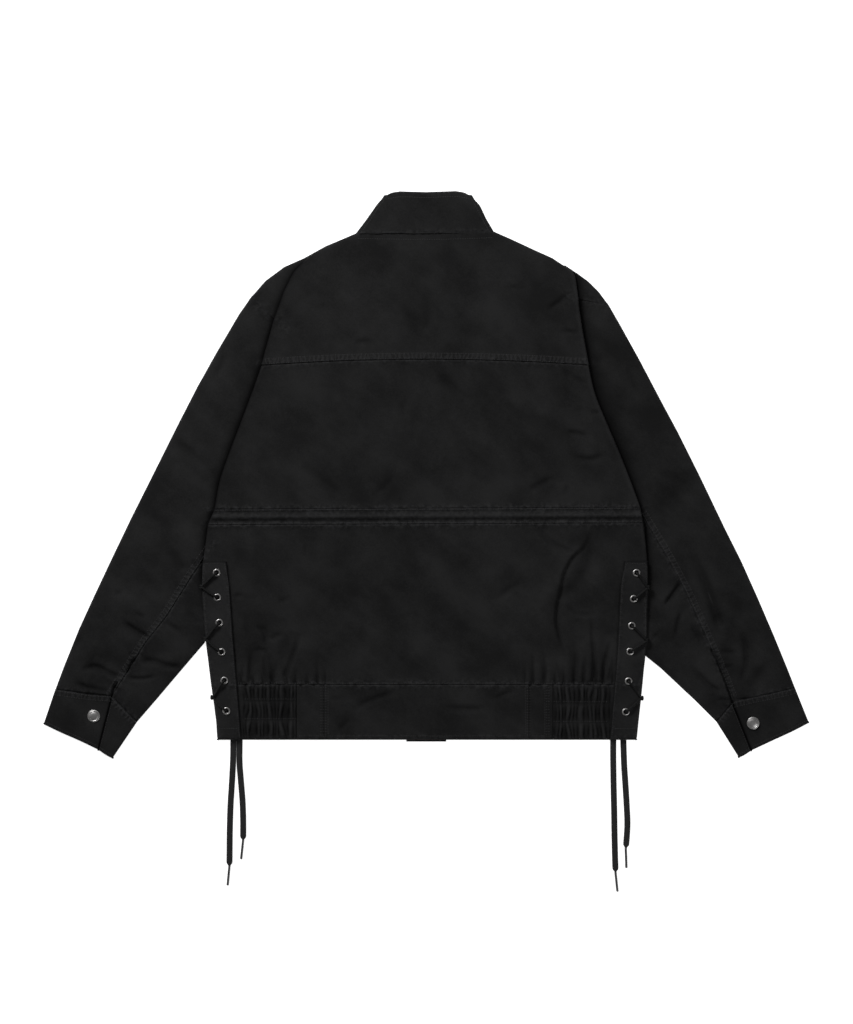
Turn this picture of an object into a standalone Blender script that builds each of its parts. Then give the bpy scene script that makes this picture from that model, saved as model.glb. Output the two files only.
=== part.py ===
"""Field jacket laid flat on its front, so the back, its laced sides and the sleeves face up.

Modelled in millimetres and scaled to metres when a mesh is made. +Y points to the collar, +X to the
right-hand sleeve and +Z up. The origin is on the surface, below the middle of the jacket.
"""
import math
from collections import namedtuple

import bmesh
import bpy
from mathutils import Vector

MM = 0.001

# Walls and gaps
CLOTH = 1.6            # one layer of the upper cloth
FRONT_CLOTH = 2.0      # the layer on the surface, faced along its edges
CUFF_CLOTH = 2.4       # a cuff is two layers
GAP = 0.3              # between pieces that touch
STRIP_LIFT = 1.35      # under the lacing strips, which bridge the small hollows below them
SEAM = GAP / 2 + 0.05  # each piece stops this far short of a seam line
BASE = FRONT_CLOTH + GAP  # underside of a wall that lies on the layer below
LOFT = 3.4             # how far the back rises off the front in its middle
SLEEVE_LOFT = 3.2
CUFF_LOFT = 1.2
ROLL = 18.0            # the back's edges round off over this width
UNDER_INSET = 2.5      # the layer on the surface stops short of the upper outline
FOLD_SINK = 0.8        # a fold sinks the cloth by at most this share of its loft
SIDE_FADE, EDGE_FADE = 30.0, 40.0  # folds fade out this near the back's side folds and free edges
SLEEVE_ROLL = 55.0     # the sleeves' edges round off over this width
SLEEVE_SLOPE = 0.9     # from a width along the x axis to one square to the sleeve
COVERED_SHARE = 0.45   # how much of its loft the sleeve keeps under the back
COVERED_BASE_Y = -200.0  # the sleeve is covered down to here

# Seams across the back
YOKE_SEAM_Y = 156.0
YOKE_SEAM_DROP = 8.0   # the seam is this much lower at its ends
CHANNEL_TOP_Y = -44.8
CHANNEL_BASE_Y = -65.8
CHANNEL_TILT = 0.0045
CHANNEL_RISE = 1.0
BAND_SEAM_Y = -282.5
HEM_Y = -357.5

# Hem band: where its pieces meet, from the left
SHIRR_LEFT, TAB_LEFT = -175.0, -138.0
TAB_RIGHT, SHIRR_RIGHT = 139.0, 171.0
SHIRR_OUTER = 247.5    # the pleats stop here, at the lacing strips
PLEATS = 13
PLEAT_RISE = 2.0
CHANNEL_ROWS = 3       # elastic channels across the shirring

# Lacing
EYELET_HOLE = 3.0
EYELET_BARREL = 3.5
EYELET_FLANGE = 5.2
EYELET_RISE = 1.2
EYELET_SIDES = 12
LACE_V = 4.0           # the lace where it is pulled tight through the eyelets
LACE = 7.0             # the flat lace's width where it hangs free
AGLET = 3.4
SNAP = 17.0

# Front
PLACKET = 27.0         # half its width
COLLAR_SEAM_Y = 327.0
PLACKET_END_Y = -360.0  # it shows a little below the hem

Side = namedtuple("Side", "y left right")
Rib = namedtuple("Rib", "x0 y0 x1 y1")
Fold = namedtuple("Fold", "x0 y0 x1 y1 bend width depth")
Spot = namedtuple("Spot", "x y")

# The back's edges: folds over the sleeves down to the waist, side edges below it
BODY = [
    Side(297, -158, 176), Side(275, -178, 198), Side(248, -192, 204), Side(210, -206, 209),
    Side(152, -222, 219), Side(110, -236, 228), Side(70, -251, 244), Side(30, -266, 261),
    Side(-8, -279, 276), Side(-45, -286, 289), Side(-66, -295, 293), Side(-100, -299, 297),
    Side(-140, -303, 299), Side(-187, -300.5, 298), Side(-224, -297.5, 297.5),
    Side(-259, -293.5, 294), Side(-286, -290, 291.5), Side(-325, -284.5, 287.5), Side(-358, -282, 284)]

# Inner edges of the two lacing strips, and where their tops are
STRIP = [Side(-116, -269.5, 267.6), Side(-145, -265.3, 262.2), Side(-190, -262.3, 259.8),
         Side(-252, -257.6, 256.1), Side(-344, -250.5, 248.8), Side(-358, -249.4, 247.9)]

# The sleeves' outer edges
SLEEVE_OUT = [
    Side(236.5, -240.7, 242.6), Side(209.5, -258.3, 258.8), Side(155.5, -289.3, 288.5),
    Side(101.5, -319, 316.8), Side(47.5, -346, 345.2), Side(-6.5, -373, 372.2), Side(-60.5, -400, 397.8),
    Side(-114.5, -425.7, 424.8), Side(-168.5, -451.3, 449.1), Side(-222.5, -475.6, 472.1),
    Side(-271, -494.5, 492.3), Side(-311.6, -509.3, 508.5), Side(-336.4, -517, 517)]

# Shoulder and collar outline, from the left back fold over the collar to the right one
SHOULDER_LEFT = [Spot(-158, 297), Spot(-136, 309.5), Spot(-114, 318.8), Spot(-95, 327)]
COLLAR_LEFT = [Spot(-95, 327), Spot(-81.5, 345.2), Spot(-69, 364), Spot(-57, 380.2)]
COLLAR_TOP = [Spot(-57, 380.2), Spot(-44, 383.6), Spot(0, 382.6), Spot(44, 384), Spot(62, 380.4)]
COLLAR_RIGHT = [Spot(62, 380.4), Spot(73, 362.5), Spot(81, 346.5), Spot(91, 329.5)]
SHOULDER_RIGHT = [Spot(91, 329.5), Spot(116, 318.5), Spot(145, 305), Spot(176, 290.5)]

# The largest folds; a positive depth is a trough with a soft ridge beside it
BACK_FOLDS = [
    Fold(18, 134, 60, 92, 4, 13, 1.6), Fold(66, 146, 130, 100, -5, 15, 1.8),
    Fold(184, 142, 224, 110, 3, 13, 1.8), Fold(180, 58, 232, 14, -4, 14, 1.5),
    Fold(-165, 14, -105, -30, 3, 15, 1.3), Fold(-15, 246, 18, 175, 5, 14, 1.1),
    Fold(224, -67, 182, -170, -18, 12, 3.0), Fold(182, -150, 190, -240, 8, 11, 2.8),
    Fold(152, -66, 198, -104, 5, 13, 2.2), Fold(188, -176, 230, -186, -3, 10, 1.8),
    Fold(138, -140, 86, -174, 4, 16, 1.7), Fold(-176, -212, -192, -280, 6, 11, 2.6),
    Fold(-232, -160, -214, -238, -7, 11, 2.4), Fold(-236, -226, -228, -280, 2, 8, 2.4),
    Fold(-212, -226, -208, -280, -2, 7, 2.2), Fold(204, -216, 203, -280, 2, 8, 2.4),
    Fold(226, -226, 225, -280, -2, 7, 2.2), Fold(244, -212, 242, -280, 2, 7, 2.2)]
SLEEVE_FOLDS = [
    Fold(-411, -196, -370, -218, 3, 11, 2.4), Fold(-464, -262, -412, -256, -5, 11, 2.4),
    Fold(-384, -250, -340, -232, 3, 10, 2.0), Fold(-420, -150, -352, -160, -5, 14, 2.0),
    Fold(-330, 60, -268, 20, 5, 16, 1.8), Fold(-372, -60, -320, -74, -3, 14, 1.6),
    Fold(-445, -232, -432, -292, 4, 10, 2.2), Fold(346, -88, 394, -186, 10, 12, 2.6),
    Fold(394, -186, 400, -206, 2, 9, 1.8), Fold(322, -168, 345, -140, -3, 11, 2.2),
    Fold(430, -170, 412, -272, 6, 12, 2.2), Fold(472, -250, 440, -292, 3, 10, 2.2),
    Fold(284, 120, 240, 74, -4, 15, 1.6), Fold(372, -20, 316, -42, 4, 15, 1.8)]

LEFT, RIGHT = -1, 1
SIDES = {"left": LEFT, "right": RIGHT}


# ---------------------------------------------------------------- numbers and curves
def ease(t):
    """Quarter circle from 0 to 1: steep at an edge, level inside it."""
    t = min(max(t, 0.0), 1.0)
    return math.sqrt(1.0 - (1.0 - t) ** 2)


def hermite(rows, t):
    """Smooth values between equally spaced rows; t counts rows from 0."""
    i = min(max(int(t), 0), len(rows) - 2)
    f = t - i
    before, after = rows[max(i - 1, 0)], rows[min(i + 2, len(rows) - 1)]
    values = []
    for a, b, c, d in zip(before, rows[i], rows[i + 1], after):
        m0, m1 = (c - a) / 2, (d - b) / 2
        values.append((2 * f ** 3 - 3 * f ** 2 + 1) * b + (f ** 3 - 2 * f ** 2 + f) * m0
                      + (3 * f ** 2 - 2 * f ** 3) * c + (f ** 3 - f ** 2) * m1)
    return values


def straight(rows, t):
    """Values between rows with a corner at each row."""
    i = min(max(int(t), 0), len(rows) - 2)
    return [a + (b - a) * (t - i) for a, b in zip(rows[i], rows[i + 1])]


def at_height(table, y, side):
    """The x of a table's edge at y, on the left or the right."""
    x = [row.left if side == LEFT else row.right for row in table]
    for i in range(len(table) - 1):
        if y >= table[i + 1].y or i == len(table) - 2:
            t = (table[i].y - y) / (table[i].y - table[i + 1].y)
            return hermite([(value,) for value in x], i + min(max(t, 0.0), 1.0))[0]


def distance(x, y, line):
    """How far a point is from a line through spots."""
    best = 1e9
    for a, b in zip(line, line[1:]):
        dx, dy = b[0] - a[0], b[1] - a[1]
        t = ((x - a[0]) * dx + (y - a[1]) * dy) / (dx * dx + dy * dy)
        t = min(max(t, 0.0), 1.0)
        best = min(best, math.hypot(x - a[0] - t * dx, y - a[1] - t * dy))
    return best


def fold_relief(x, y, folds):
    """How far the folds move the cloth up or down at a point."""
    relief = 0.0
    for fold in folds:
        dx, dy = fold.x1 - fold.x0, fold.y1 - fold.y0
        length = math.hypot(dx, dy)
        along = ((x - fold.x0) * dx + (y - fold.y0) * dy) / length ** 2
        if 0.0 < along < 1.0:
            bulge = 4 * fold.bend * along * (1 - along)
            across = (((x - fold.x0) * dy - (y - fold.y0) * dx) / length - bulge) / fold.width
            shape = math.exp(-across ** 2) - 0.55 * math.exp(-(across - 1.5) ** 2)
            relief -= fold.depth * shape * math.sin(math.pi * along) ** 0.6
    return relief


# ---------------------------------------------------------------- heights
def body_edge(low, high, side, step=12.0):
    """Spots down one side of the back."""
    count = max(int((high - low) / step), 1)
    heights = [high + (low - high) * i / count for i in range(count + 1)]
    return [Spot(at_height(BODY, y, side), y) for y in heights]


FREE_TOP = ([Spot(-140, 307)] + SHOULDER_LEFT[2:] + COLLAR_LEFT[1:] + COLLAR_TOP[1:]
            + COLLAR_RIGHT[1:] + SHOULDER_RIGHT[1:3] + [Spot(156, 300)])
FREE_HEM = body_edge(HEM_Y, -246, LEFT) + body_edge(HEM_Y, -260, RIGHT)[::-1]


def back_height(x, y):
    """Top of the back's cloth."""
    edge = min(distance(x, y, FREE_TOP), distance(x, y, FREE_HEM))
    height = BASE + CLOTH + LOFT * ease(edge / ROLL)
    side = LEFT if x < 0 else RIGHT
    inside = abs(at_height(BODY, min(y, 297.0), side) - x)
    relief = fold_relief(x, y, BACK_FOLDS) * ease(inside / SIDE_FADE) * ease(edge / EDGE_FADE)
    return height + max(relief, -FOLD_SINK * LOFT * ease(edge / ROLL))


def channel_height(x, y):
    """The drawcord channel stands proud along its middle."""
    middle = (CHANNEL_TOP_Y + CHANNEL_BASE_Y) / 2 + CHANNEL_TILT * x
    across = (y - middle) / (CHANNEL_TOP_Y - CHANNEL_BASE_Y)
    return back_height(x, y) + CHANNEL_RISE * math.cos(math.pi * across)


def shirr_height(x, y):
    """Pleats between the rows of elastic, flat again under the lacing strip."""
    inner = SHIRR_LEFT if x < 0 else SHIRR_RIGHT
    width = SHIRR_OUTER - abs(inner)
    along = (abs(x) - abs(inner)) / width
    up = (y - HEM_Y) / (BAND_SEAM_Y - HEM_Y)
    pleat = abs(math.sin(math.pi * PLEATS * along)) if 0 < along < 1 else 0.0
    puff = 0.35 + 0.65 * abs(math.sin(math.pi * CHANNEL_ROWS * up))
    return back_height(x, y) + PLEAT_RISE * pleat * puff


def strip_height(x, y):
    """The lacing strips lie on the back's cloth."""
    return back_height(x, y) + STRIP_LIFT + CLOTH


def sleeve_height(x, y):
    """Top of the sleeve's cloth, low where the back covers it."""
    side = LEFT if x < 0 else RIGHT
    outer = abs(at_height(SLEEVE_OUT, min(max(y, -336.0), 236.0), side)) - abs(x)
    covered = abs(x) - abs(at_height(BODY, min(max(y, -357.0), 297.0), side))
    edge = min(outer * SLEEVE_SLOPE, distance(x, y, INNER_EDGE[side]), distance(x, y, SLEEVE_HEAD[side]) + 8)
    shown = ease(edge / SLEEVE_ROLL)
    hidden = COVERED_SHARE if y > COVERED_BASE_Y else 1.0
    reach = min(max(covered / EDGE_FADE, 0.0), 1.0)
    share = shown * (hidden + (1 - hidden) * reach)
    relief = fold_relief(x, y, SLEEVE_FOLDS) * min(max((covered - 6) / 20, 0), 1) * ease(edge / EDGE_FADE)
    return BASE + CLOTH + SLEEVE_LOFT * share + max(relief, -FOLD_SINK * SLEEVE_LOFT * share)


def shoulder_height(x, y):
    """The shoulder wedge, low enough for the back's fold to lie on it."""
    line = SHOULDER_LINE[LEFT if x < 0 else RIGHT]
    return BASE + CLOTH + 0.4 * SLEEVE_LOFT * ease(distance(x, y, line) / ROLL)


def cuff_height(x, y):
    """The cuffs are stiff and lie almost flat."""
    edges = CUFF_EDGE[LEFT if x < 0 else RIGHT]
    return BASE + CUFF_CLOTH + CUFF_LOFT * ease(distance(x, y, edges) / 12)


def floor_height(x, y):
    return FRONT_CLOTH


# ---------------------------------------------------------------- sleeve tables
# Sleeve ribs run from the outer edge to the seam behind the arm, the last along the cuff
SLEEVE = {
    LEFT: [Rib(-238, 239, -190, 198), Rib(-253, 217.5, -195, 168), Rib(-283, 166.5, -205, 124),
           Rib(-308.5, 121, -219, 82), Rib(-334, 71.5, -236, 34), Rib(-364, 11.5, -258, -30),
           Rib(-398, -56.5, -286, -92), Rib(-424, -110.5, -318, -139), Rib(-448, -161.5, -349, -188.7),
           Rib(-469, -207.5, -378, -225), Rib(-489, -257, -403, -265), Rib(-501, -289, -424.3, -297.5)],
    RIGHT: [Rib(247, 229, 193, 241), Rib(262, 203, 193, 196), Rib(287, 158, 201, 150),
            Rib(313, 108.5, 213, 100), Rib(340, 58, 234, 52), Rib(369, 0, 259, -4),
            Rib(404, -73, 290, -52), Rib(426, -117, 322, -106), Rib(448, -166, 350, -158),
            Rib(470, -217.5, 375, -213), Rib(489, -264, 401, -273.5), Rib(498, -287, 413, -306)]}
SEAM_RIBS = 6  # the last ribs of the sleeve end on the back seam

# Inner ends of the panel behind the back seam, under the back and then along the inner edge
SLEEVE_INNER = {
    LEFT: [Spot(-286.5, -128), Spot(-291, -186), Spot(-299, -226), Spot(-334, -267), Spot(-365, -303.5),
           Spot(-390.5, -333)],
    RIGHT: [Spot(281, -100), Spot(285, -165), Spot(291, -240), Spot(317, -261), Spot(364, -305),
            Spot(392, -333)]}
SLEEVE_BACK = {side: [Rib(rib.x1, rib.y1, spot.x, spot.y)
                      for rib, spot in zip(SLEEVE[side][-SEAM_RIBS:], SLEEVE_INNER[side])]
               for side in (LEFT, RIGHT)}

# The wedge of shoulder outside the back's fold: from the outline to its end below the fold
SHOULDER_WEDGE = {
    LEFT: [Rib(-166, 293, -163, 284), Rib(-192, 281.5, -176, 268), Rib(-217, 263, -182, 238),
           Rib(-238, 239, -190, 198)],
    RIGHT: [Rib(203, 273.5, 196, 266), Rib(219, 262, 196, 258), Rib(233, 248, 194, 250),
            Rib(247, 229, 193, 241)]}

# The side of the sleeve that lies on the surface
SLEEVE_UNDER = {
    LEFT: [Rib(-238, 239, -190, 198), Rib(-270, 188, -198, 150), Rib(-308.5, 121, -219, 82),
           Rib(-346, 47.5, -246, -2), Rib(-386, -32, -281, -86), Rib(-426, -115, -287, -160),
           Rib(-448, -161.5, -299, -226), Rib(-469, -207.5, -334, -267),
           Rib(-489, -257, -365, -303.5), Rib(-501, -289, -390.5, -333)],
    RIGHT: [Rib(247, 229, 194, 224), Rib(274, 182, 196, 180), Rib(300, 134, 203, 140),
            Rib(326, 85, 216, 92), Rib(350, 38, 238, 42), Rib(377, -16, 260, -12),
            Rib(404, -73, 278, -75), Rib(426, -117, 284, -150), Rib(448, -166, 291, -240),
            Rib(470, -217.5, 317, -261), Rib(489, -264, 364, -305), Rib(498, -287, 392, -333)]}

# Cuffs: from the sleeve's seam to the bottom edge
CUFF = {
    LEFT: [Rib(-501, -289, -517, -336.4), Rib(-476, -292.5, -494, -347.5),
           Rib(-450, -296, -468, -359), Rib(-424.3, -297.5, -443, -371)],
    RIGHT: [Rib(498, -287, 517, -334.5), Rib(470, -293.5, 496, -345.5),
            Rib(441, -299.5, 470, -357.5), Rib(413, -306, 439, -372)]}
CUFF_END = {
    LEFT: [Rib(-424, -298.5, -443, -371), Rib(-408, -316, -432, -378.5),
           Rib(-390.5, -333, -424, -382.5)],
    RIGHT: [Rib(412.5, -306.5, 439, -372), Rib(403, -320, 430, -378), Rib(392, -333, 422.5, -381.5)]}
SNAPS = {LEFT: Spot(-448.7, -325.1), RIGHT: Spot(441, -334.5)}

EYELETS = {
    LEFT: [Spot(-282.6, -131.5), Spot(-281.6, -164.8), Spot(-279, -199), Spot(-275.8, -238.4),
           Spot(-272.2, -276.8), Spot(-269.3, -317.9)],
    RIGHT: [Spot(283.4, -131.6), Spot(279.5, -166.7), Spot(277, -203), Spot(274.7, -237.8),
            Spot(272.6, -277.6), Spot(268.8, -319.1)]}

# Free lace ends on the surface, from the hem to the aglet
Route = namedtuple("Route", "name points aglet")
LACES = [
    Route("left_outer", [Spot(-259.0, -358.6), Spot(-260.0, -372), Spot(-260.9, -386), Spot(-261.7, -400),
                         Spot(-262.5, -413), Spot(-263.3, -426), Spot(-264.2, -440), Spot(-264.8, -453),
                         Spot(-265.2, -466), Spot(-265.5, -479), Spot(-265.7, -492), Spot(-265.8, -505),
                         Spot(-265.9, -517), Spot(-266.1, -529.4)], Spot(-268.4, -554.3)),
    Route("left_inner", [Spot(-251.4, -358.6), Spot(-251.5, -370), Spot(-251.6, -382), Spot(-251.3, -394),
                         Spot(-250.5, -406), Spot(-249.6, -418), Spot(-248.8, -430), Spot(-248.2, -441),
                         Spot(-247.8, -452), Spot(-247.5, -463), Spot(-247.4, -474), Spot(-247.4, -484),
                         Spot(-247.6, -494.4)], Spot(-250.2, -519)),
    Route("right_inner", [Spot(252.7, -358.9), Spot(252.6, -373), Spot(252.7, -387), Spot(252.9, -401),
                          Spot(253.1, -415), Spot(253.4, -429), Spot(253.7, -443), Spot(254.0, -457),
                          Spot(254.2, -471), Spot(254.4, -485), Spot(254.7, -499), Spot(255.0, -512),
                          Spot(255.4, -525), Spot(255.8, -537.6)], Spot(258.4, -562.7)),
    Route("right_outer", [Spot(266.4, -359.2), Spot(266.7, -371), Spot(267.1, -383), Spot(267.6, -395),
                          Spot(268.4, -407), Spot(269.2, -419), Spot(270.0, -431), Spot(270.7, -443),
                          Spot(271.3, -455), Spot(271.8, -467), Spot(271.6, -479), Spot(270.7, -492),
                          Spot(269.6, -505)], Spot(270.5, -530.8))]

# Lines that the heights are measured from
SLEEVE_HEAD = {side: [Spot(*SLEEVE[side][0][:2]), Spot(*SLEEVE[side][0][2:])] for side in (LEFT, RIGHT)}
INNER_EDGE = {side: [Spot(rib.x1, rib.y1) for rib in SLEEVE_UNDER[side]] for side in (LEFT, RIGHT)}
CUFF_EDGE = {side: [Spot(rib.x1, rib.y1) for rib in CUFF[side][::-1]]
             + [Spot(rib.x0, rib.y0) for rib in CUFF[side][:1]] for side in (LEFT, RIGHT)}
SHOULDER_LINE = {LEFT: [Spot(-158, 297), Spot(-192, 281.5), Spot(-217, 263), Spot(-238, 239)],
                 RIGHT: [Spot(176, 290.5), Spot(204, 274), Spot(228, 254), Spot(247, 229)]}


# ---------------------------------------------------------------- materials and meshes
def material(name, colour, roughness, metallic=0.0):
    shader = bpy.data.materials.new(name)
    shader.use_nodes = True
    bsdf = shader.node_tree.nodes["Principled BSDF"]
    bsdf.inputs["Base Color"].default_value = (*colour, 1)
    bsdf.inputs["Roughness"].default_value = roughness
    bsdf.inputs["Metallic"].default_value = metallic
    return shader


def finish_mesh(name, mesh_data, shader):
    """Turn a bmesh in millimetres into an object of the scene."""
    bmesh.ops.scale(mesh_data, vec=Vector((MM, MM, MM)), verts=mesh_data.verts)
    bmesh.ops.recalc_face_normals(mesh_data, faces=mesh_data.faces)
    if mesh_data.calc_volume(signed=True) < 0:
        bmesh.ops.reverse_faces(mesh_data, faces=mesh_data.faces)
    mesh = bpy.data.meshes.new(name)
    mesh_data.to_mesh(mesh)
    mesh_data.free()
    mesh.materials.append(shader)
    piece = bpy.data.objects.new(name, mesh)
    bpy.context.scene.collection.objects.link(piece)
    return piece


def grid_steps(count, first=(), last=()):
    """Steps from 0 to 1: even ones, with given finer ones at each end."""
    low, high = (first[-1] if first else 0.0), (1 - last[-1] if last else 1.0)
    even = [low + (high - low) * i / count for i in range(count + 1)]
    return ([0.0] + list(first[:-1]) if first else []) + even + \
        ([1 - step for step in last[-2::-1]] + [1.0] if last else [])


def panel(name, ribs, height, shader, along=3, across=None, wall=CLOTH,
          trim=(SEAM, SEAM, SEAM, SEAM), curve=hermite, place=None):
    """A wall of cloth between ribs.

    Each rib is a line from one edge of the panel to the other. along is the number of steps from rib
    to rib, across the steps along a rib from 0 to 1. trim is how far the panel stops short of its
    ribs' starts, their ends, the first rib and the last. place moves a point onto a curved edge.
    """
    across = across or grid_steps(6)
    steps = [i / along for i in range(along * (len(ribs) - 1) + 1)]
    first_gap = math.dist(ribs[0][:2] + ribs[0][2:], ribs[1][:2] + ribs[1][2:]) / math.sqrt(2)
    last_gap = math.dist(ribs[-1][:2] + ribs[-1][2:], ribs[-2][:2] + ribs[-2][2:]) / math.sqrt(2)
    steps[0] += trim[2] / first_gap
    steps[-1] -= trim[3] / last_gap
    cloth = bmesh.new()
    bmesh.ops.create_grid(cloth, x_segments=len(across) - 1, y_segments=len(steps) - 1, size=0.5)
    for vert in cloth.verts:
        i = round((vert.co.x + 0.5) * (len(across) - 1))
        j = round((vert.co.y + 0.5) * (len(steps) - 1))
        x0, y0, x1, y1 = curve(ribs, steps[j])
        length = math.hypot(x1 - x0, y1 - y0)
        t = min(max(across[i], trim[0] / length), 1 - trim[1] / length)
        x, y = x0 + (x1 - x0) * t, y0 + (y1 - y0) * t
        x, y = place(x, y) if place else (x, y)
        vert.co = (x, y, height(x, y))
    under = bmesh.ops.extrude_face_region(cloth, geom=cloth.faces[:])
    for item in under["geom"]:
        if isinstance(item, bmesh.types.BMVert):
            item.co.z = 0.0 if height is floor_height else item.co.z - wall
    return finish_mesh(name, cloth, shader)


def turned(name, profile, sides, shader, place, normal):
    """A ring or a dome from a profile of (radius, height), stood on a place along its normal."""
    ring = bmesh.new()
    verts = [ring.verts.new((radius, 0.0, height)) for radius, height in profile]
    edges = [ring.edges.new(pair) for pair in zip(verts, verts[1:] + verts[:1])]
    bmesh.ops.spin(ring, geom=verts + edges, cent=(0, 0, 0), axis=(0, 0, 1), angle=math.tau,
                   steps=sides, use_merge=True)
    bmesh.ops.remove_doubles(ring, verts=ring.verts, dist=1e-4)
    turn = Vector((0, 0, 1)).rotation_difference(normal).to_matrix()
    bmesh.ops.rotate(ring, cent=(0, 0, 0), matrix=turn, verts=ring.verts)
    bmesh.ops.translate(ring, vec=place, verts=ring.verts)
    return finish_mesh(name, ring, shader)


def tube(name, points, diameter, shader):
    """A round cord through points."""
    curve = bpy.data.curves.new(name, "CURVE")
    curve.dimensions = "3D"
    curve.bevel_depth = diameter / 2 * MM
    curve.bevel_resolution = 2
    curve.use_fill_caps = True
    spline = curve.splines.new("POLY")
    spline.points.add(len(points) - 1)
    for spot, point in zip(spline.points, points):
        spot.co = (*(Vector(point) * MM), 1)
    curve.materials.append(shader)
    cord = bpy.data.objects.new(name, curve)
    bpy.context.scene.collection.objects.link(cord)
    return cord


def smooth_route(points, spacing):
    """Points about a given distance apart on a smooth curve through the route's own points."""
    rows = [tuple(point) for point in points]
    count = max(round(sum(math.dist(a, b) for a, b in zip(rows, rows[1:])) / spacing), 2)
    return [hermite(rows, (len(rows) - 1) * i / count) for i in range(count + 1)]


def slope(height, x, y, reach=4.0):
    """The cloth's normal at a point."""
    rise_x = (height(x + reach, y) - height(x - reach, y)) / (2 * reach)
    rise_y = (height(x, y + reach) - height(x, y - reach)) / (2 * reach)
    return Vector((-rise_x, -rise_y, 1)).normalized()


# ---------------------------------------------------------------- the back
def yoke_seam(x):
    return YOKE_SEAM_Y - YOKE_SEAM_DROP * (x / 220) ** 2


def near_edge(y, edge, fade):
    """1 at a panel's edge, 0 where it fades out."""
    return max(0.0, 1 - abs(y - edge) / abs(fade - edge))


def yoke_place(x, y):
    """Widen the yoke from straight sides to its curved folds."""
    side = LEFT if x < 0 else RIGHT
    top, bottom = (Spot(-158, 297), Spot(-221, 148)) if side == LEFT else (Spot(198, 275), Spot(218.5, 148))
    if y > top.y:
        return x, y
    chord = top.x + (bottom.x - top.x) * (top.y - y) / (top.y - bottom.y)
    return x * at_height(BODY, y, side) / chord, y


def upper_place(x, y):
    seam = (yoke_seam(x) - BACK_ROWS[0]) * near_edge(y, BACK_ROWS[0], BACK_ROWS[1])
    return x, y + seam + CHANNEL_TILT * x * near_edge(y, CHANNEL_TOP_Y, 0)


def lower_place(x, y):
    return x, y + CHANNEL_TILT * x * near_edge(y, CHANNEL_BASE_Y, -120)


BACK_ROWS = [151.0, 110, 70, 30, -8, CHANNEL_TOP_Y]
LOWER_ROWS = [CHANNEL_BASE_Y, -96, -126, -156, -187, -218, -250, BAND_SEAM_Y]


def body_rows(heights):
    """Ribs across the back, from side edge to side edge."""
    return [Rib(at_height(BODY, y, LEFT), y, at_height(BODY, y, RIGHT), y) for y in heights]


def columns(stations, half=295.0):
    """Steps from 0 to 1 for columns at given distances from the middle."""
    return [(x + half) / (2 * half) for x in stations]


def back(cloth):
    """Yoke, upper back, drawcord channel and lower back."""
    outline = (SHOULDER_LEFT + [Spot(-48, 327.6), Spot(0, 327.8), Spot(46, 328.2)]
               + SHOULDER_RIGHT[:3] + [Spot(170, 293.5), Spot(198, 275)])
    seam_x = [-221, -196, -171, -146, -96, -14, 52, 104, 140, 170, 196, 218.5]
    ribs = [Rib(x, yoke_seam(x), top.x, top.y) for x, top in zip(seam_x, outline)]
    panel("yoke", ribs, back_height, cloth, along=2, curve=straight, place=yoke_place,
          across=grid_steps(7, last=(0.03, 0.07, 0.13)))
    even = grid_steps(24, first=(0.012, 0.035), last=(0.012, 0.035))
    panel("back_upper", body_rows(BACK_ROWS), back_height, cloth, along=2, across=even, place=upper_place)
    panel("waist_channel", body_rows((CHANNEL_TOP_Y, CHANNEL_BASE_Y)), channel_height, cloth, along=4,
          across=even, place=lambda x, y: (x, y + CHANNEL_TILT * x))
    fine = [9 * i for i in range(10)]
    stations = ([-295, -288, -276, -260] + [-251 + x for x in fine] + [-150 + 20 * i for i in range(16)]
                + [170 + x for x in fine] + [260, 276, 288, 295])
    panel("back_lower", body_rows(LOWER_ROWS), back_height, cloth, along=2, across=columns(stations),
          place=lower_place)


def band(cloth):
    """Hem band: plain centre and tabs, shirred ends that run under the lacing strips."""
    def piece(name, x0, x1, height, steps, rows):
        ribs = [Rib(x0, BAND_SEAM_Y, x1, BAND_SEAM_Y), Rib(x0, HEM_Y, x1, HEM_Y)]
        return panel(name, ribs, height, cloth, along=rows, across=steps)

    piece("band_centre", TAB_LEFT, TAB_RIGHT, back_height, grid_steps(10), 5)
    piece("band_tab_left", SHIRR_LEFT, TAB_LEFT, back_height, grid_steps(2), 5)
    piece("band_tab_right", TAB_RIGHT, SHIRR_RIGHT, back_height, grid_steps(2), 5)
    for name, side in SIDES.items():
        inner = SHIRR_LEFT if side == LEFT else SHIRR_RIGHT
        plain = (SHIRR_OUTER - abs(inner)) / (287.0 - abs(inner))
        steps = [plain * i / (3 * PLEATS) for i in range(3 * PLEATS + 1)] + [0.73, 0.82, 0.935, 1.0]
        ribs = [Rib(inner, y, at_height(BODY, y, side), y)
                for y in (BAND_SEAM_Y, (BAND_SEAM_Y + HEM_Y) / 2, HEM_Y)]
        panel(f"band_shirred_{name}", ribs, shirr_height, cloth, along=CHANNEL_ROWS, across=steps,
              curve=straight)


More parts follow.
